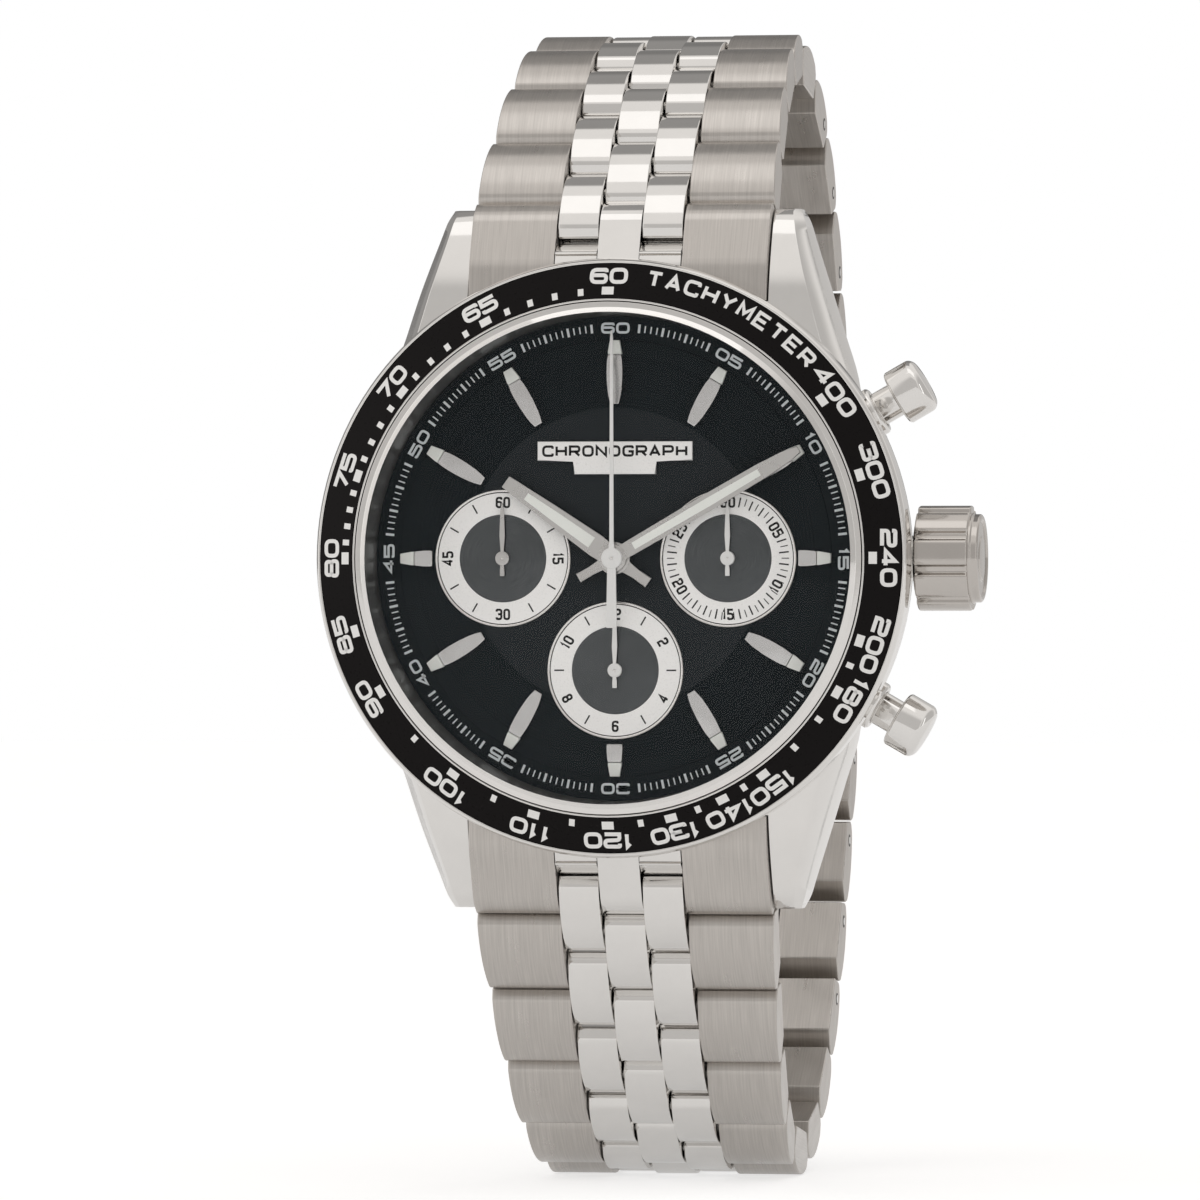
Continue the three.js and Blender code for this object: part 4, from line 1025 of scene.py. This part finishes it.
def make_crown():
    low, high = head_box("crown")
    radius = (high.y - low.y) / 2
    start, end = low.x, high.x
    grip_end = end - CROWN_DISC_T
    groove_r = radius - CROWN_GROOVE
    lobe_parts = [(radius, part / 6 * 0.68) for part in range(7)]
    groove_parts = [(groove_r, 0.74), (groove_r, 0.94)]
    outline = []
    for lobe in range(CROWN_LOBES):
        for r, part in lobe_parts + groove_parts:
            turn = (lobe + part) * 2 * math.pi / CROWN_LOBES
            outline.append((r * math.cos(turn), r * math.sin(turn)))
    bm = bmesh.new()
    add_slab(bm, outline, start + 0.05, grip_end)
    bevel_sharp(bm, 0.13, 3, limit=30.0)
    place = radial_place(0)
    grain_straight(bm, 2)
    add_piece("crown_grip", bm, "crown", "crown", ["crown"], place)
    disc_r = CROWN_DISC_R
    turned("crown_cap", [
        (0, grip_end - 0.3), (disc_r + 0.1, grip_end - 0.3), (disc_r + 0.1, grip_end + 0.12),
        (disc_r, grip_end + 0.2), (disc_r, end - 0.1), (disc_r - 0.15, end), (disc_r - 0.4, end),
        (disc_r - 0.5, end - 0.12), (1.6, end - 0.10), (1.5, end - 0.02), (0, end - 0.02),
    ], [0, 0, 0.08, 0.05, 0.1, 0.05, 0.04, 0.04, 0.03, 0.04, 0], "crown", "crown", (), place,
        96, closed=False)
    turned("crown_collar", [
        (1.7, start - 0.1), (2.9, start - 0.1), (3.15, start + 0.1), (3.15, start + 0.3), (1.7, start + 0.3),
    ], 0.08, "crown", "crown", (), place, 72)


def make_pushers():
    stem_r = PUSHER_STEM_R
    for name, angle in PUSHER_ANGLES.items():
        place = radial_place(angle)
        back = place.inverted() @ HEAD_BACK
        points = [back @ v.co for v in frame["nodes"][name].data.vertices]
        cap_r = max(math.hypot(p.x, p.y) for p in points)
        start, end = min(p.z for p in points), max(p.z for p in points)
        cap_start = end - PUSHER_CAP
        turned(f"{name}_cap", [
            (0, start), (stem_r, start), (stem_r, cap_start - 0.02), (cap_r - 0.12, cap_start),
            (cap_r, cap_start + 0.14), (cap_r, end - 0.55), (cap_r - 0.35, end - 0.18), (0, end),
        ], [0, 0.05, 0.05, 0.06, 0.08, 0.2, 0.5, 0], "polished", name, [name], place, 96,
            steps=4, closed=False)
        turned(f"{name}_collar", [
            (stem_r + 0.08, CASE_R - 0.7), (stem_r + 0.55, CASE_R - 0.7), (stem_r + 0.55, CASE_R + 0.25),
            (stem_r + 0.4, CASE_R + 0.42), (stem_r + 0.08, CASE_R + 0.42),
        ], 0.06, "polished", "head", (), place, 64)


# ---------------------------------------------------------------- bracelet
def hinge_of(child):
    joint = next(j for j in frame["joints"] if j["child"] == child)
    point = HEAD_BACK @ Vector(joint["pos_m"])
    return Vector((point.y, point.z))


UPPER_ROWS = sorted(n for n in frame["nodes"] if n.startswith("upper_row_"))
LOWER_ROWS = sorted(n for n in frame["nodes"] if n.startswith("lower_row_"))
PITCH = (hinge_of(UPPER_ROWS[1]) - hinge_of(UPPER_ROWS[0])).length
UPPER_LAST_DIRECTION = 158.4
DOME_R = ((PITCH / 2) ** 2 + (LINK_CROWN - LINK_EDGE) ** 2) / (2 * (LINK_CROWN - LINK_EDGE))


def strand_frames(rows, side, last):
    """(hinge, direction in degrees) of each row; `last` is the strand's far hinge, or None."""
    hinges = [hinge_of(row) for row in rows]
    frames = []
    for i, hinge in enumerate(hinges):
        after = hinges[i + 1] if i + 1 < len(hinges) else last
        if after is None:
            frames.append((hinge, UPPER_LAST_DIRECTION))
            continue
        step = after - hinge
        frames.append((hinge, math.degrees(math.atan2(-step.y, side * step.x))))
    return frames


def row_place(hinge, direction, side):
    place = Matrix.Translation((0, hinge.x, hinge.y))
    if side < 0:
        place = place @ Matrix.Rotation(math.pi, 4, "Z")
    turn = Matrix.Rotation(-math.radians(direction), 4, "X")
    return place @ turn @ Matrix.Translation((0, 0.75 * PITCH, 0))


def half_width(stations):
    return max(ROW_WIDTH - ROW_TAPER * stations, ROW_END_WIDTH) / 2


def dome(distance):
    return LINK_CROWN - DOME_R + math.sqrt(DOME_R ** 2 - distance ** 2)


def link_outline(u0, u1):
    """Side outline of a link: domed outside with a facet at each end, bevelled inside."""
    middle, half = (u0 + u1) / 2, (u1 - u0) / 2
    crest = half - FACET
    steps = 12
    distances = [crest * (1 - 2 * k / steps) for k in range(steps + 1)]
    arc = [(middle + distance, dome(distance)) for distance in distances]
    low = dome(crest) - FACET * 1.5
    near = [(u0 + LINK_BEVEL, -LINK_IN), (u1 - LINK_BEVEL, -LINK_IN), (u1, 0), (u1, low)]
    outline = near + arc + [(u0, low), (u0, 0)]
    cuts = [0] * len(outline)
    cuts[len(near)] = cuts[len(near) + steps] = CREST_ROUND
    return rounded(outline, cuts, 4)


def make_outer_links(node, index, outline, place):
    bm = bmesh.new()
    for hand in (1, -1):
        def edge(y, hand=hand):
            return hand * half_width(index + y / PITCH)
        add_prism(bm, outline, hand * (INNER_EDGE + 0.02), 0, edge)
    bevel_sharp(bm, 0.09, 3)
    grain_straight(bm)
    add_piece(f"{node}_outer", bm, "brushed", node, [node], place)


def make_inner_links(node, outline, place):
    """The centre link, the two intermediate links half a pitch nearer the watch, and the pins."""
    bm = bmesh.new()
    add_prism(bm, outline, -COLUMN / 2 + 0.02, COLUMN / 2 - 0.02)
    between = link_outline(-PITCH + END_GAP, -END_GAP)
    for hand in (1, -1):
        add_prism(bm, between, hand * (COLUMN + SIDE_GAP) / 2, hand * (INNER_EDGE - SIDE_GAP / 2))
    bevel_sharp(bm, 0.08, 3)
    for u in (-PITCH / 4, PITCH / 4):
        add_prism(bm, circle(u, 0.0, PIN_R, 16), -INNER_EDGE - 0.5, INNER_EDGE + 0.5)
    grain_straight(bm)
    add_piece(f"{node}_inner", bm, "polished", node, (), place)


def make_pin_ends(node, index, place):
    """A pin's end on each side of a link that can be taken out, in a dark ring of painted shade that stands
    for its recess.
    """
    ring, pin = bmesh.new(), bmesh.new()
    u = PITCH / 4
    for hand in (1, -1):
        x = hand * half_width(index + 0.25)
        add_prism(ring, circle(u, 0.0, PIN_RECESS_R, 24), x - hand * 0.3, x + hand * 0.015)
        add_prism(pin, circle(u, 0.0, PIN_END_R, 24), x - hand * 0.3, x + hand * 0.03)
    # the dark ring round the pin's end is painted shade of the recess
    add_piece(f"{node}_pin_recess_shade", ring, "rubber", node, (), place, slot="brushed")
    add_piece(f"{node}_pin_end", pin, "polished", node, (), place)


def make_row(node, index, place, removable):
    end = PITCH / 2 - END_GAP
    outline = link_outline(-end, end)
    make_outer_links(node, index, outline, place)
    make_inner_links(node, outline, place)
    if removable:
        make_pin_ends(node, index, place)


def make_strands():
    lower_end = hinge_of("clasp_cover")
    for rows, side, last, first_removable in ((UPPER_ROWS, 1, None, 5), (LOWER_ROWS, -1, lower_end, 7)):
        for index, (hinge, direction) in enumerate(strand_frames(rows, side, last)):
            make_row(rows[index], index, row_place(hinge, direction, side), index >= first_removable)


END_LINK_DIR = 30


def make_end_link(node, side):
    """Brushed wings and a polished middle that fill the gap between the lugs."""
    hinge = hinge_of(UPPER_ROWS[0])
    turn = math.radians(END_LINK_DIR)
    along = Vector((math.cos(turn), -math.sin(turn)))
    outward = Vector((math.sin(turn), math.cos(turn)))

    def at(u, v):
        return tuple(hinge + along * u + outward * v)

    bar_y, lip = 22.0, PITCH / 4 - END_GAP
    flat = LUG_TIP_Y - 7.7

    def profile(reach):
        """Side outline with the top ending `reach` along the strand from the hinge."""
        return [
            (flat, 1.7), (bar_y - 0.2, 1.5), at(0.4, -2.1), at(reach - 0.6, -LINK_IN), at(reach, -0.2),
            at(reach, LINK_EDGE - 0.15), at(reach - 0.35, LINK_EDGE + 0.1), at(reach - 1.4, LINK_EDGE + 0.62),
            (bar_y - 0.3, CASE_TOP - 1.12), (bar_y - 1.6, CASE_TOP - 0.5), (flat, CASE_TOP - 0.33),
        ]

    cuts = [0, 0.2, 0.3, 0.3, 0.1, 0.1, 0.15, 0.6, 0.8, 0.9, 0]
    half_span = LUG_GAP / 2 - 0.1

    def section(bm, reach, x0, x1):
        outline = [(side * y, z) for y, z in rounded(profile(reach), cuts, 4)]
        add_prism(bm, outline, min(x0, x1), max(x0, x1))

    wings = bmesh.new()
    for hand in (1, -1):
        section(wings, lip, hand * (INNER_EDGE + 0.03), hand * half_span)
    bevel_sharp(wings, 0.07, 2, limit=35.0)
    grain_straight(wings)
    add_piece(f"{node}_wings", wings, "brushed", "head", [node])
    middle = bmesh.new()
    section(middle, lip, -COLUMN / 2 + 0.02, COLUMN / 2 - 0.02)
    for hand in (1, -1):
        section(middle, -PITCH / 4 - END_GAP, hand * (COLUMN / 2 + 0.02), hand * (INNER_EDGE - 0.02))
    bevel_sharp(middle, 0.08, 3, limit=35.0)
    grain_straight(middle)
    add_piece(f"{node}_middle", middle, "polished", "head")


# ---------------------------------------------------------------- clasp
CLASP_ARC = 16.1
CLASP_HALF = 9.0
CLASP_WALL = 1.0
CLASP_PIN_R = 0.34
CLASP_ARM_X = (4.62, 7.18)
CLASP_BLADE = (-1.65, -0.25)
BUTTON_SPAN = (9.4, 5.4)
BUTTON_RIBS = 5


def make_clasp():
    lower = hinge_of("clasp_cover")
    last_hinge = hinge_of(UPPER_ROWS[-1])
    turn = math.radians(UPPER_LAST_DIRECTION)
    upper = last_hinge + Vector((math.cos(turn), -math.sin(turn))) * PITCH
    chord = upper - lower
    length = chord.length
    t = chord.normalized()
    out = Vector((t.y, -t.x))
    half_arc = math.radians(CLASP_ARC)
    radius = length / 2 / math.sin(half_arc)

    def at(s, v):
        phi = (2 * s / length - 1) * half_arc
        along = length / 2 + (radius + v) * math.sin(phi)
        away = (radius + v) * math.cos(phi) - radius * math.cos(half_arc)
        return tuple(lower + t * along + out * away)

    def band(s0, s1, v0, v1, n=8):
        stations = [s0 + (s1 - s0) * k / n for k in range(n + 1)]
        return [at(s, v0) for s in stations] + [at(s, v1) for s in reversed(stations)]

    start, end = PITCH / 4 + 0.3, length - PITCH / 4 - 0.3
    buttons = (end - BUTTON_SPAN[0], end - BUTTON_SPAN[1])
    blade = CLASP_BLADE
    fold = start + 1.9
    hinge_s = end - 1.3
    middle_v = sum(blade) / 2

    cover = bmesh.new()
    add_prism(cover, band(start, end, 0.2, 1.5, 24), -CLASP_HALF, CLASP_HALF)
    for hand in (1, -1):
        for s0, s1 in ((start, buttons[0] - 0.1), (buttons[1] + 0.1, end)):
            add_prism(cover, band(s0, s1, blade[0] - 0.05, 0.5), hand * (CLASP_HALF - CLASP_WALL),
                      hand * CLASP_HALF)
        add_prism(cover, band(-0.9, start + 0.3, -0.7, 0.85, 6), hand * (COLUMN / 2 + SIDE_GAP),
                  hand * (INNER_EDGE - SIDE_GAP))
    bevel_sharp(cover, 0.16, 3, limit=35.0)
    grain_straight(cover)
    add_piece("clasp_lid", cover, "brushed", "clasp_cover", ["clasp_cover"])
    trim = bmesh.new()
    for s in (start + 1.1, end - 1.1):
        add_prism(trim, band(s - 0.28, s + 0.28, 1.4, 1.545, 2), -CLASP_HALF + 0.25, CLASP_HALF - 0.25)
    bevel_sharp(trim, 0.05, 2)
    grain_straight(trim)
    add_piece("clasp_lid_lines", trim, "polished", "clasp_cover")

    arms = bmesh.new()
    for hand in (1, -1):
        add_prism(arms, band(fold - 1.6, hinge_s + 0.7, *blade, 16), *(hand * x for x in CLASP_ARM_X))
        add_prism(arms, circle(*at(hinge_s, middle_v), CLASP_PIN_R, 16), hand * 5.6, hand * 8.4)
    add_prism(arms, band(fold - 1.65, fold - 1.15, *blade, 2), -5.0, 5.0)
    bevel_sharp(arms, 0.12, 2, limit=35.0)
    grain_straight(arms)
    add_piece("clasp_arms", arms, "blades", "clasp_blade_outer", ["clasp_blade_outer"])

    tongue = bmesh.new()
    add_prism(tongue, band(fold - 0.75, end, *blade, 16), -4.3, 4.3)
    for hand in (1, -1):
        add_prism(tongue, band(end - 0.5, length - PIN_R - 0.45, *blade, 3), hand * (COLUMN / 2 + SIDE_GAP),
                  hand * (INNER_EDGE - SIDE_GAP))
    bevel_sharp(tongue, 0.12, 2, limit=35.0)
    add_prism(tongue, circle(*at(fold, middle_v), CLASP_PIN_R, 16), -7.1, 7.1)
    grain_straight(tongue)
    add_piece("clasp_tongue", tongue, "blades", "clasp_blade_inner", ["clasp_blade_inner"])

    for name, hand in (("clasp_button_right", 1), ("clasp_button_left", -1)):
        bm = bmesh.new()
        add_prism(bm, band(*buttons, blade[0], 0.05, 6), hand * (CLASP_HALF - CLASP_WALL - 0.2),
                  hand * (CLASP_HALF + 0.3))
        bevel_sharp(bm, 0.14, 3, limit=35.0)
        for k in range(BUTTON_RIBS):
            s = buttons[0] + 0.9 + k * 0.55
            add_prism(bm, band(s - 0.12, s + 0.12, blade[0] + 0.35, -0.3, 2), hand * CLASP_HALF,
                      hand * (CLASP_HALF + 0.34))
        grain_straight(bm)
        add_piece(f"{name}_face", bm, "polished", name, [name])


# ---------------------------------------------------------------- movement, seen through the back
def arc_points(radius, a0, a1, count):
    turns = [math.radians(a0 + (a1 - a0) * k / count) for k in range(count + 1)]
    return [(radius * math.cos(t), radius * math.sin(t)) for t in turns]


def make_rotor():
    low, high = head_box("rotor")
    z0, z1 = low.z, high.z
    outer, weight_in, web_out, web_in = 13.8, 10.4, 10.6, 2.0
    weight = bmesh.new()
    outline = arc_points(outer, 180, 360, 48) + arc_points(weight_in, 360, 180, 40)
    add_slab(weight, outline, z0, z1)
    bevel_sharp(weight, 0.15, 2, limit=35.0)
    grain_round(weight)
    add_piece("rotor_weight", weight, "stripes", "rotor", ["rotor"])
    web = bmesh.new()
    for a0, a1, fine, coarse in ((200, 232, 10, 4), (308, 340, 10, 4), (262, 278, 6, 3)):
        outline = arc_points(web_out, a0, a1, fine) + arc_points(web_in, a1, a0, coarse)
        add_slab(web, outline, z0 + 0.2, z1 - 0.2)
    bevel_sharp(web, 0.08, 2, limit=35.0)
    add_turned(web, [(1.0, z0), (2.3, z0), (2.3, z1), (1.0, z1)], 0.12, 64)
    grain_round(web)
    add_piece("rotor_web", web, "stripes", "rotor")
    race = bmesh.new()
    add_turned(race, [(0.98, z0 - 0.04), (1.35, z0 - 0.04), (1.35, z0 + 0.3), (0.98, z0 + 0.3)], 0.05, 48,
               steps=2)
    grain_round(race)
    add_piece("rotor_race", race, "gilt", "rotor")


def add_bar(bm, centre, turn, r0, r1, half, z0, z1):
    """Adds a straight bar from r0 to r1 along a direction through a centre."""
    along = Vector((math.cos(turn), math.sin(turn)))
    normal = Vector((-along.y, along.x)) * half
    corners = ((r0, 1), (r1, 1), (r1, -1), (r0, -1))
    outline = [tuple(Vector(centre) + along * r + normal * side) for r, side in corners]
    add_slab(bm, outline, z0, z1)


def make_balance():
    low, high = head_box("balance_wheel")
    x, y = (low.x + high.x) / 2, (low.y + high.y) / 2
    radius = (high.x - low.x) / 2
    z = low.z + 0.3
    bm = bmesh.new()
    rim = (radius - 0.55, radius - 0.05)
    add_turned(bm, [(rim[0], z), (rim[1], z), (rim[1], z + 0.55), (rim[0], z + 0.55)], 0.08, 96, (x, y), 2)
    for turn in (90, 210, 330):
        add_bar(bm, (x, y), math.radians(turn), 0.3, radius - 0.3, 0.22, z + 0.1, z + 0.4)
    add_turned(bm, [(0, z - 0.25), (0.42, z - 0.25), (0.42, z + 1.4), (0, z + 1.4)], [0, 0.05, 0.05, 0],
               32, (x, y), 2, False)
    grain_round(bm, (x, y))
    add_piece("balance_rim", bm, "gilt", "balance_wheel", ["balance_wheel"])
    spring = bmesh.new()
    turns, per_turn = 6, 40
    coil = []
    for k in range(turns * per_turn + 1):
        angle = 2 * math.pi * k / per_turn
        r = 0.55 + 2.3 * k / (turns * per_turn)
        coil.append((x + r * math.cos(angle), y + r * math.sin(angle)))
    add_stroke(spring, coil, False, 0.035, lambda a, b, h: (a, b, z - 0.12 - h), 0.1)
    add_piece("balance_spring", spring, "blued", "balance_wheel")


BRIDGE_Z = 3.0
JEWELS = [(4.2, 5.6), (7.4, 1.9), (2.4, 8.9), (-0.8, -3.2), (5.2, -5.8), (9.4, -4.4)]
JEWEL_R = 0.52
SETTING_R = 0.82
SCREW_CIRCLE_R = 13.4
SCREW_ANGLES = [15, 68, 112, 165, 248, 300, 338]
SCREW_R = 0.7


def make_jewels():
    z, jewels, settings = BRIDGE_Z, bmesh.new(), bmesh.new()
    for centre in JEWELS:
        add_turned(settings, [(JEWEL_R, z + 0.1), (JEWEL_R, z - 0.05), (SETTING_R, z - 0.05),
                              (SETTING_R, z + 0.1)], 0.03, 40, centre, 2)
        add_turned(jewels, [(0, z + 0.1), (JEWEL_R, z + 0.1), (JEWEL_R, z - 0.03), (0.14, z - 0.03),
                            (0.12, z + 0.03), (0, z + 0.03)], [0, 0, 0.04, 0.02, 0, 0], 32, centre, 2, False)
    for bm, name, finish in ((jewels, "jewels", "ruby"), (settings, "jewel_settings", "gilt")):
        grain_round(bm)
        add_piece(name, bm, finish, "head")


def make_screws():
    """Slotted screw heads that face the back; each slot is a dark bar of painted shade."""
    screws, slots = bmesh.new(), bmesh.new()
    z = BRIDGE_Z - 0.22
    for angle in SCREW_ANGLES:
        turn = math.radians(angle)
        centre = (SCREW_CIRCLE_R * math.cos(turn), SCREW_CIRCLE_R * math.sin(turn))
        add_turned(screws, [(0, z + 0.4), (SCREW_R, z + 0.4), (SCREW_R, z), (0, z)], [0, 0, 0.08, 0], 24,
                   centre, 2, False)
        slot_half = SCREW_R - 0.08
        # each slot is a dark bar set into the head: painted shade
        add_bar(slots, centre, turn * 2, -slot_half, slot_half, 0.09, z - 0.015, z + 0.12)
    grain_round(screws)
    add_piece("bridge_screws", screws, "blued", "head")
    add_piece("screw_slot_shade", slots, "rubber", "head", slot="movement")


def make_movement():
    keep_node("main_plate", "stripes")
    keep_node("train_bridge", "stripes")
    keep_node("mainspring_barrel", "gilt")
    make_rotor()
    make_balance()
    make_jewels()
    make_screws()


# ---------------------------------------------------------------- studio
TENT_BRIGHT = 0.90
TENT_GREY = 0.33
TENT_SIDE = 0.62
TENT_BELOW = 0.72
TENT_FRONT = 0.66
TENT_COLOR = (1.0, 0.975, 0.95, 1)
FLOOR_HALF = 2.5
FLOOR_GLOW = (0.38, 0.62)         # for reflections, for the camera
LIGHT_TARGET = Vector((0, 0.015, 0))
CAMERA_TARGET = Vector((-0.00109, -DIAL_TOP * MM, -0.00292))


def aim(name, data, target, azimuth, elevation, distance):
    """Puts a light or a camera `distance` from the target, in degrees round and above it."""
    azimuth, elevation = math.radians(azimuth), math.radians(elevation)
    back = Vector((math.sin(azimuth) * math.cos(elevation), -math.cos(azimuth) * math.cos(elevation),
                   math.sin(elevation)))
    obj = bpy.data.objects.new(name, data)
    obj.location = target + back * distance
    obj.rotation_mode = "QUATERNION"
    obj.rotation_quaternion = (-back).to_track_quat("-Z", "Y")
    bpy.context.scene.collection.objects.link(obj)
    return obj


def add_area(name, azimuth, elevation, distance, size, radiance):
    light = bpy.data.lights.new(name, "AREA")
    light.shape = "RECTANGLE"
    light.size, light.size_y = size
    light.energy = radiance * math.pi * size[0] * size[1]
    aim(name, light, LIGHT_TARGET, azimuth, elevation, distance).visible_camera = False


def make_world():
    """White for the camera; for all else a bright tent, greyer in front, below, at the right and behind."""
    world = bpy.data.worlds.new("studio")
    bpy.context.scene.world = world
    world.use_nodes = True
    tree = world.node_tree
    tent = tree.nodes["Background"]
    coordinates = tree.nodes.new("ShaderNodeTexCoord")
    axes = tree.nodes.new("ShaderNodeSeparateXYZ")
    tree.links.new(coordinates.outputs["Generated"], axes.inputs["Vector"])
    behind = ramp_node(tree, axes.outputs["Y"], 0.30, 0.40, 0.0, 1.0)
    left = ramp_node(tree, axes.outputs["X"], -0.02, 0.08, 1.0, 0.0)
    grey = multiply(tree, behind, left)
    flat = ramp_node(tree, grey, 0.0, 1.0, TENT_BRIGHT, TENT_GREY)
    side = ramp_node(tree, axes.outputs["X"], 0.45, 0.75, 1.0, TENT_SIDE)
    below = ramp_node(tree, axes.outputs["Z"], -0.75, -0.15, TENT_BELOW, 1.0)
    low = ramp_node(tree, axes.outputs["Z"], 0.50, 0.78, 1.0, 0.0)
    spread = tree.nodes.new("ShaderNodeMath")
    spread.operation = "ABSOLUTE"
    tree.links.new(axes.outputs["X"], spread.inputs[0])
    middle = ramp_node(tree, spread.outputs["Value"], 0.30, 0.60, 1.0, 0.0)
    front = ramp_node(tree, multiply(tree, low, middle), 0.0, 1.0, 1.0, TENT_FRONT)
    strength = flat
    for factor in (side, below, front):
        strength = multiply(tree, strength, factor)
    tent.inputs["Color"].default_value = TENT_COLOR
    tree.links.new(strength, tent.inputs["Strength"])
    white = tree.nodes.new("ShaderNodeBackground")
    white.inputs["Color"].default_value = (1, 1, 1, 1)
    path = tree.nodes.new("ShaderNodeLightPath")
    mix = tree.nodes.new("ShaderNodeMixShader")
    tree.links.new(path.outputs["Is Camera Ray"], mix.inputs["Fac"])
    tree.links.new(tent.outputs["Background"], mix.inputs[1])
    tree.links.new(white.outputs["Background"], mix.inputs[2])
    tree.links.new(mix.outputs["Shader"], tree.nodes["World Output"].inputs["Surface"])


def make_floor():
    half = FLOOR_HALF
    bm = bmesh.new()
    corners = [(-half, -half), (half, -half), (half, half), (-half, half)]
    bm.faces.new([bm.verts.new((x, y, cad_low.z - 0.1 * MM)) for x, y in corners])
    mesh = bpy.data.meshes.new("floor")
    bm.to_mesh(mesh)
    bm.free()
    mat, tree, shader = new_material("studio_floor", (0.55, 0.545, 0.54), 0.0, 0.7)
    grains = noise(tree, object_coordinates(tree), (0.02, 0.02, 0.02))
    tint(tree, shader, grains, (0.54, 0.535, 0.53), (0.56, 0.555, 0.55))
    shader.inputs["Emission Color"].default_value = (1, 1, 1, 1)
    path = tree.nodes.new("ShaderNodeLightPath")
    glow = ramp_node(tree, path.outputs["Is Camera Ray"], 0.0, 1.0, *FLOOR_GLOW)
    tree.links.new(glow, shader.inputs["Emission Strength"])
    mesh.materials.append(mat)
    obj = bpy.data.objects.new("floor", mesh)
    bpy.context.scene.collection.objects.link(obj)


def make_lights():
    add_area("softbox_top", -6, 74, 0.62, (0.60, 0.30), 0.35)
    add_area("strip_right", 62, 8, 0.6, (0.10, 0.5), 0.9)
    add_area("strip_left", -66, 14, 0.6, (0.12, 0.5), 0.7)


def make_camera():
    """The view from a little to the right of the dial, level with it."""
    data = bpy.data.cameras.new("camera")
    data.sensor_width = 36.0
    data.lens = 299.4
    data.clip_start, data.clip_end = 0.01, 20.0
    bpy.context.scene.camera = aim("camera", data, CAMERA_TARGET, 9.6, -0.1, 0.700)


def keep_small_nodes():
    for node in ("crown_tube", "winding_stem", "spring_bar_upper", "spring_bar_lower"):
        keep_node(node, "polished")
    for node in ("case_back_gasket", "crystal_gasket"):
        keep_node(node, "rubber")
    keep_node("movement_ring", "plastic")


make_camera()
make_world()
make_lights()
make_floor()
make_case()
make_case_back()
make_bezel_figures()
make_dial()
make_dial_figures()
make_subdials()
make_dial_plate()
make_hands()
make_crown()
make_pushers()
make_strands()
make_end_link("end_link_upper", 1)
make_end_link("end_link_lower", -1)
make_clasp()
make_movement()
keep_small_nodes()
bpy.context.scene.view_settings.view_transform = "Standard"
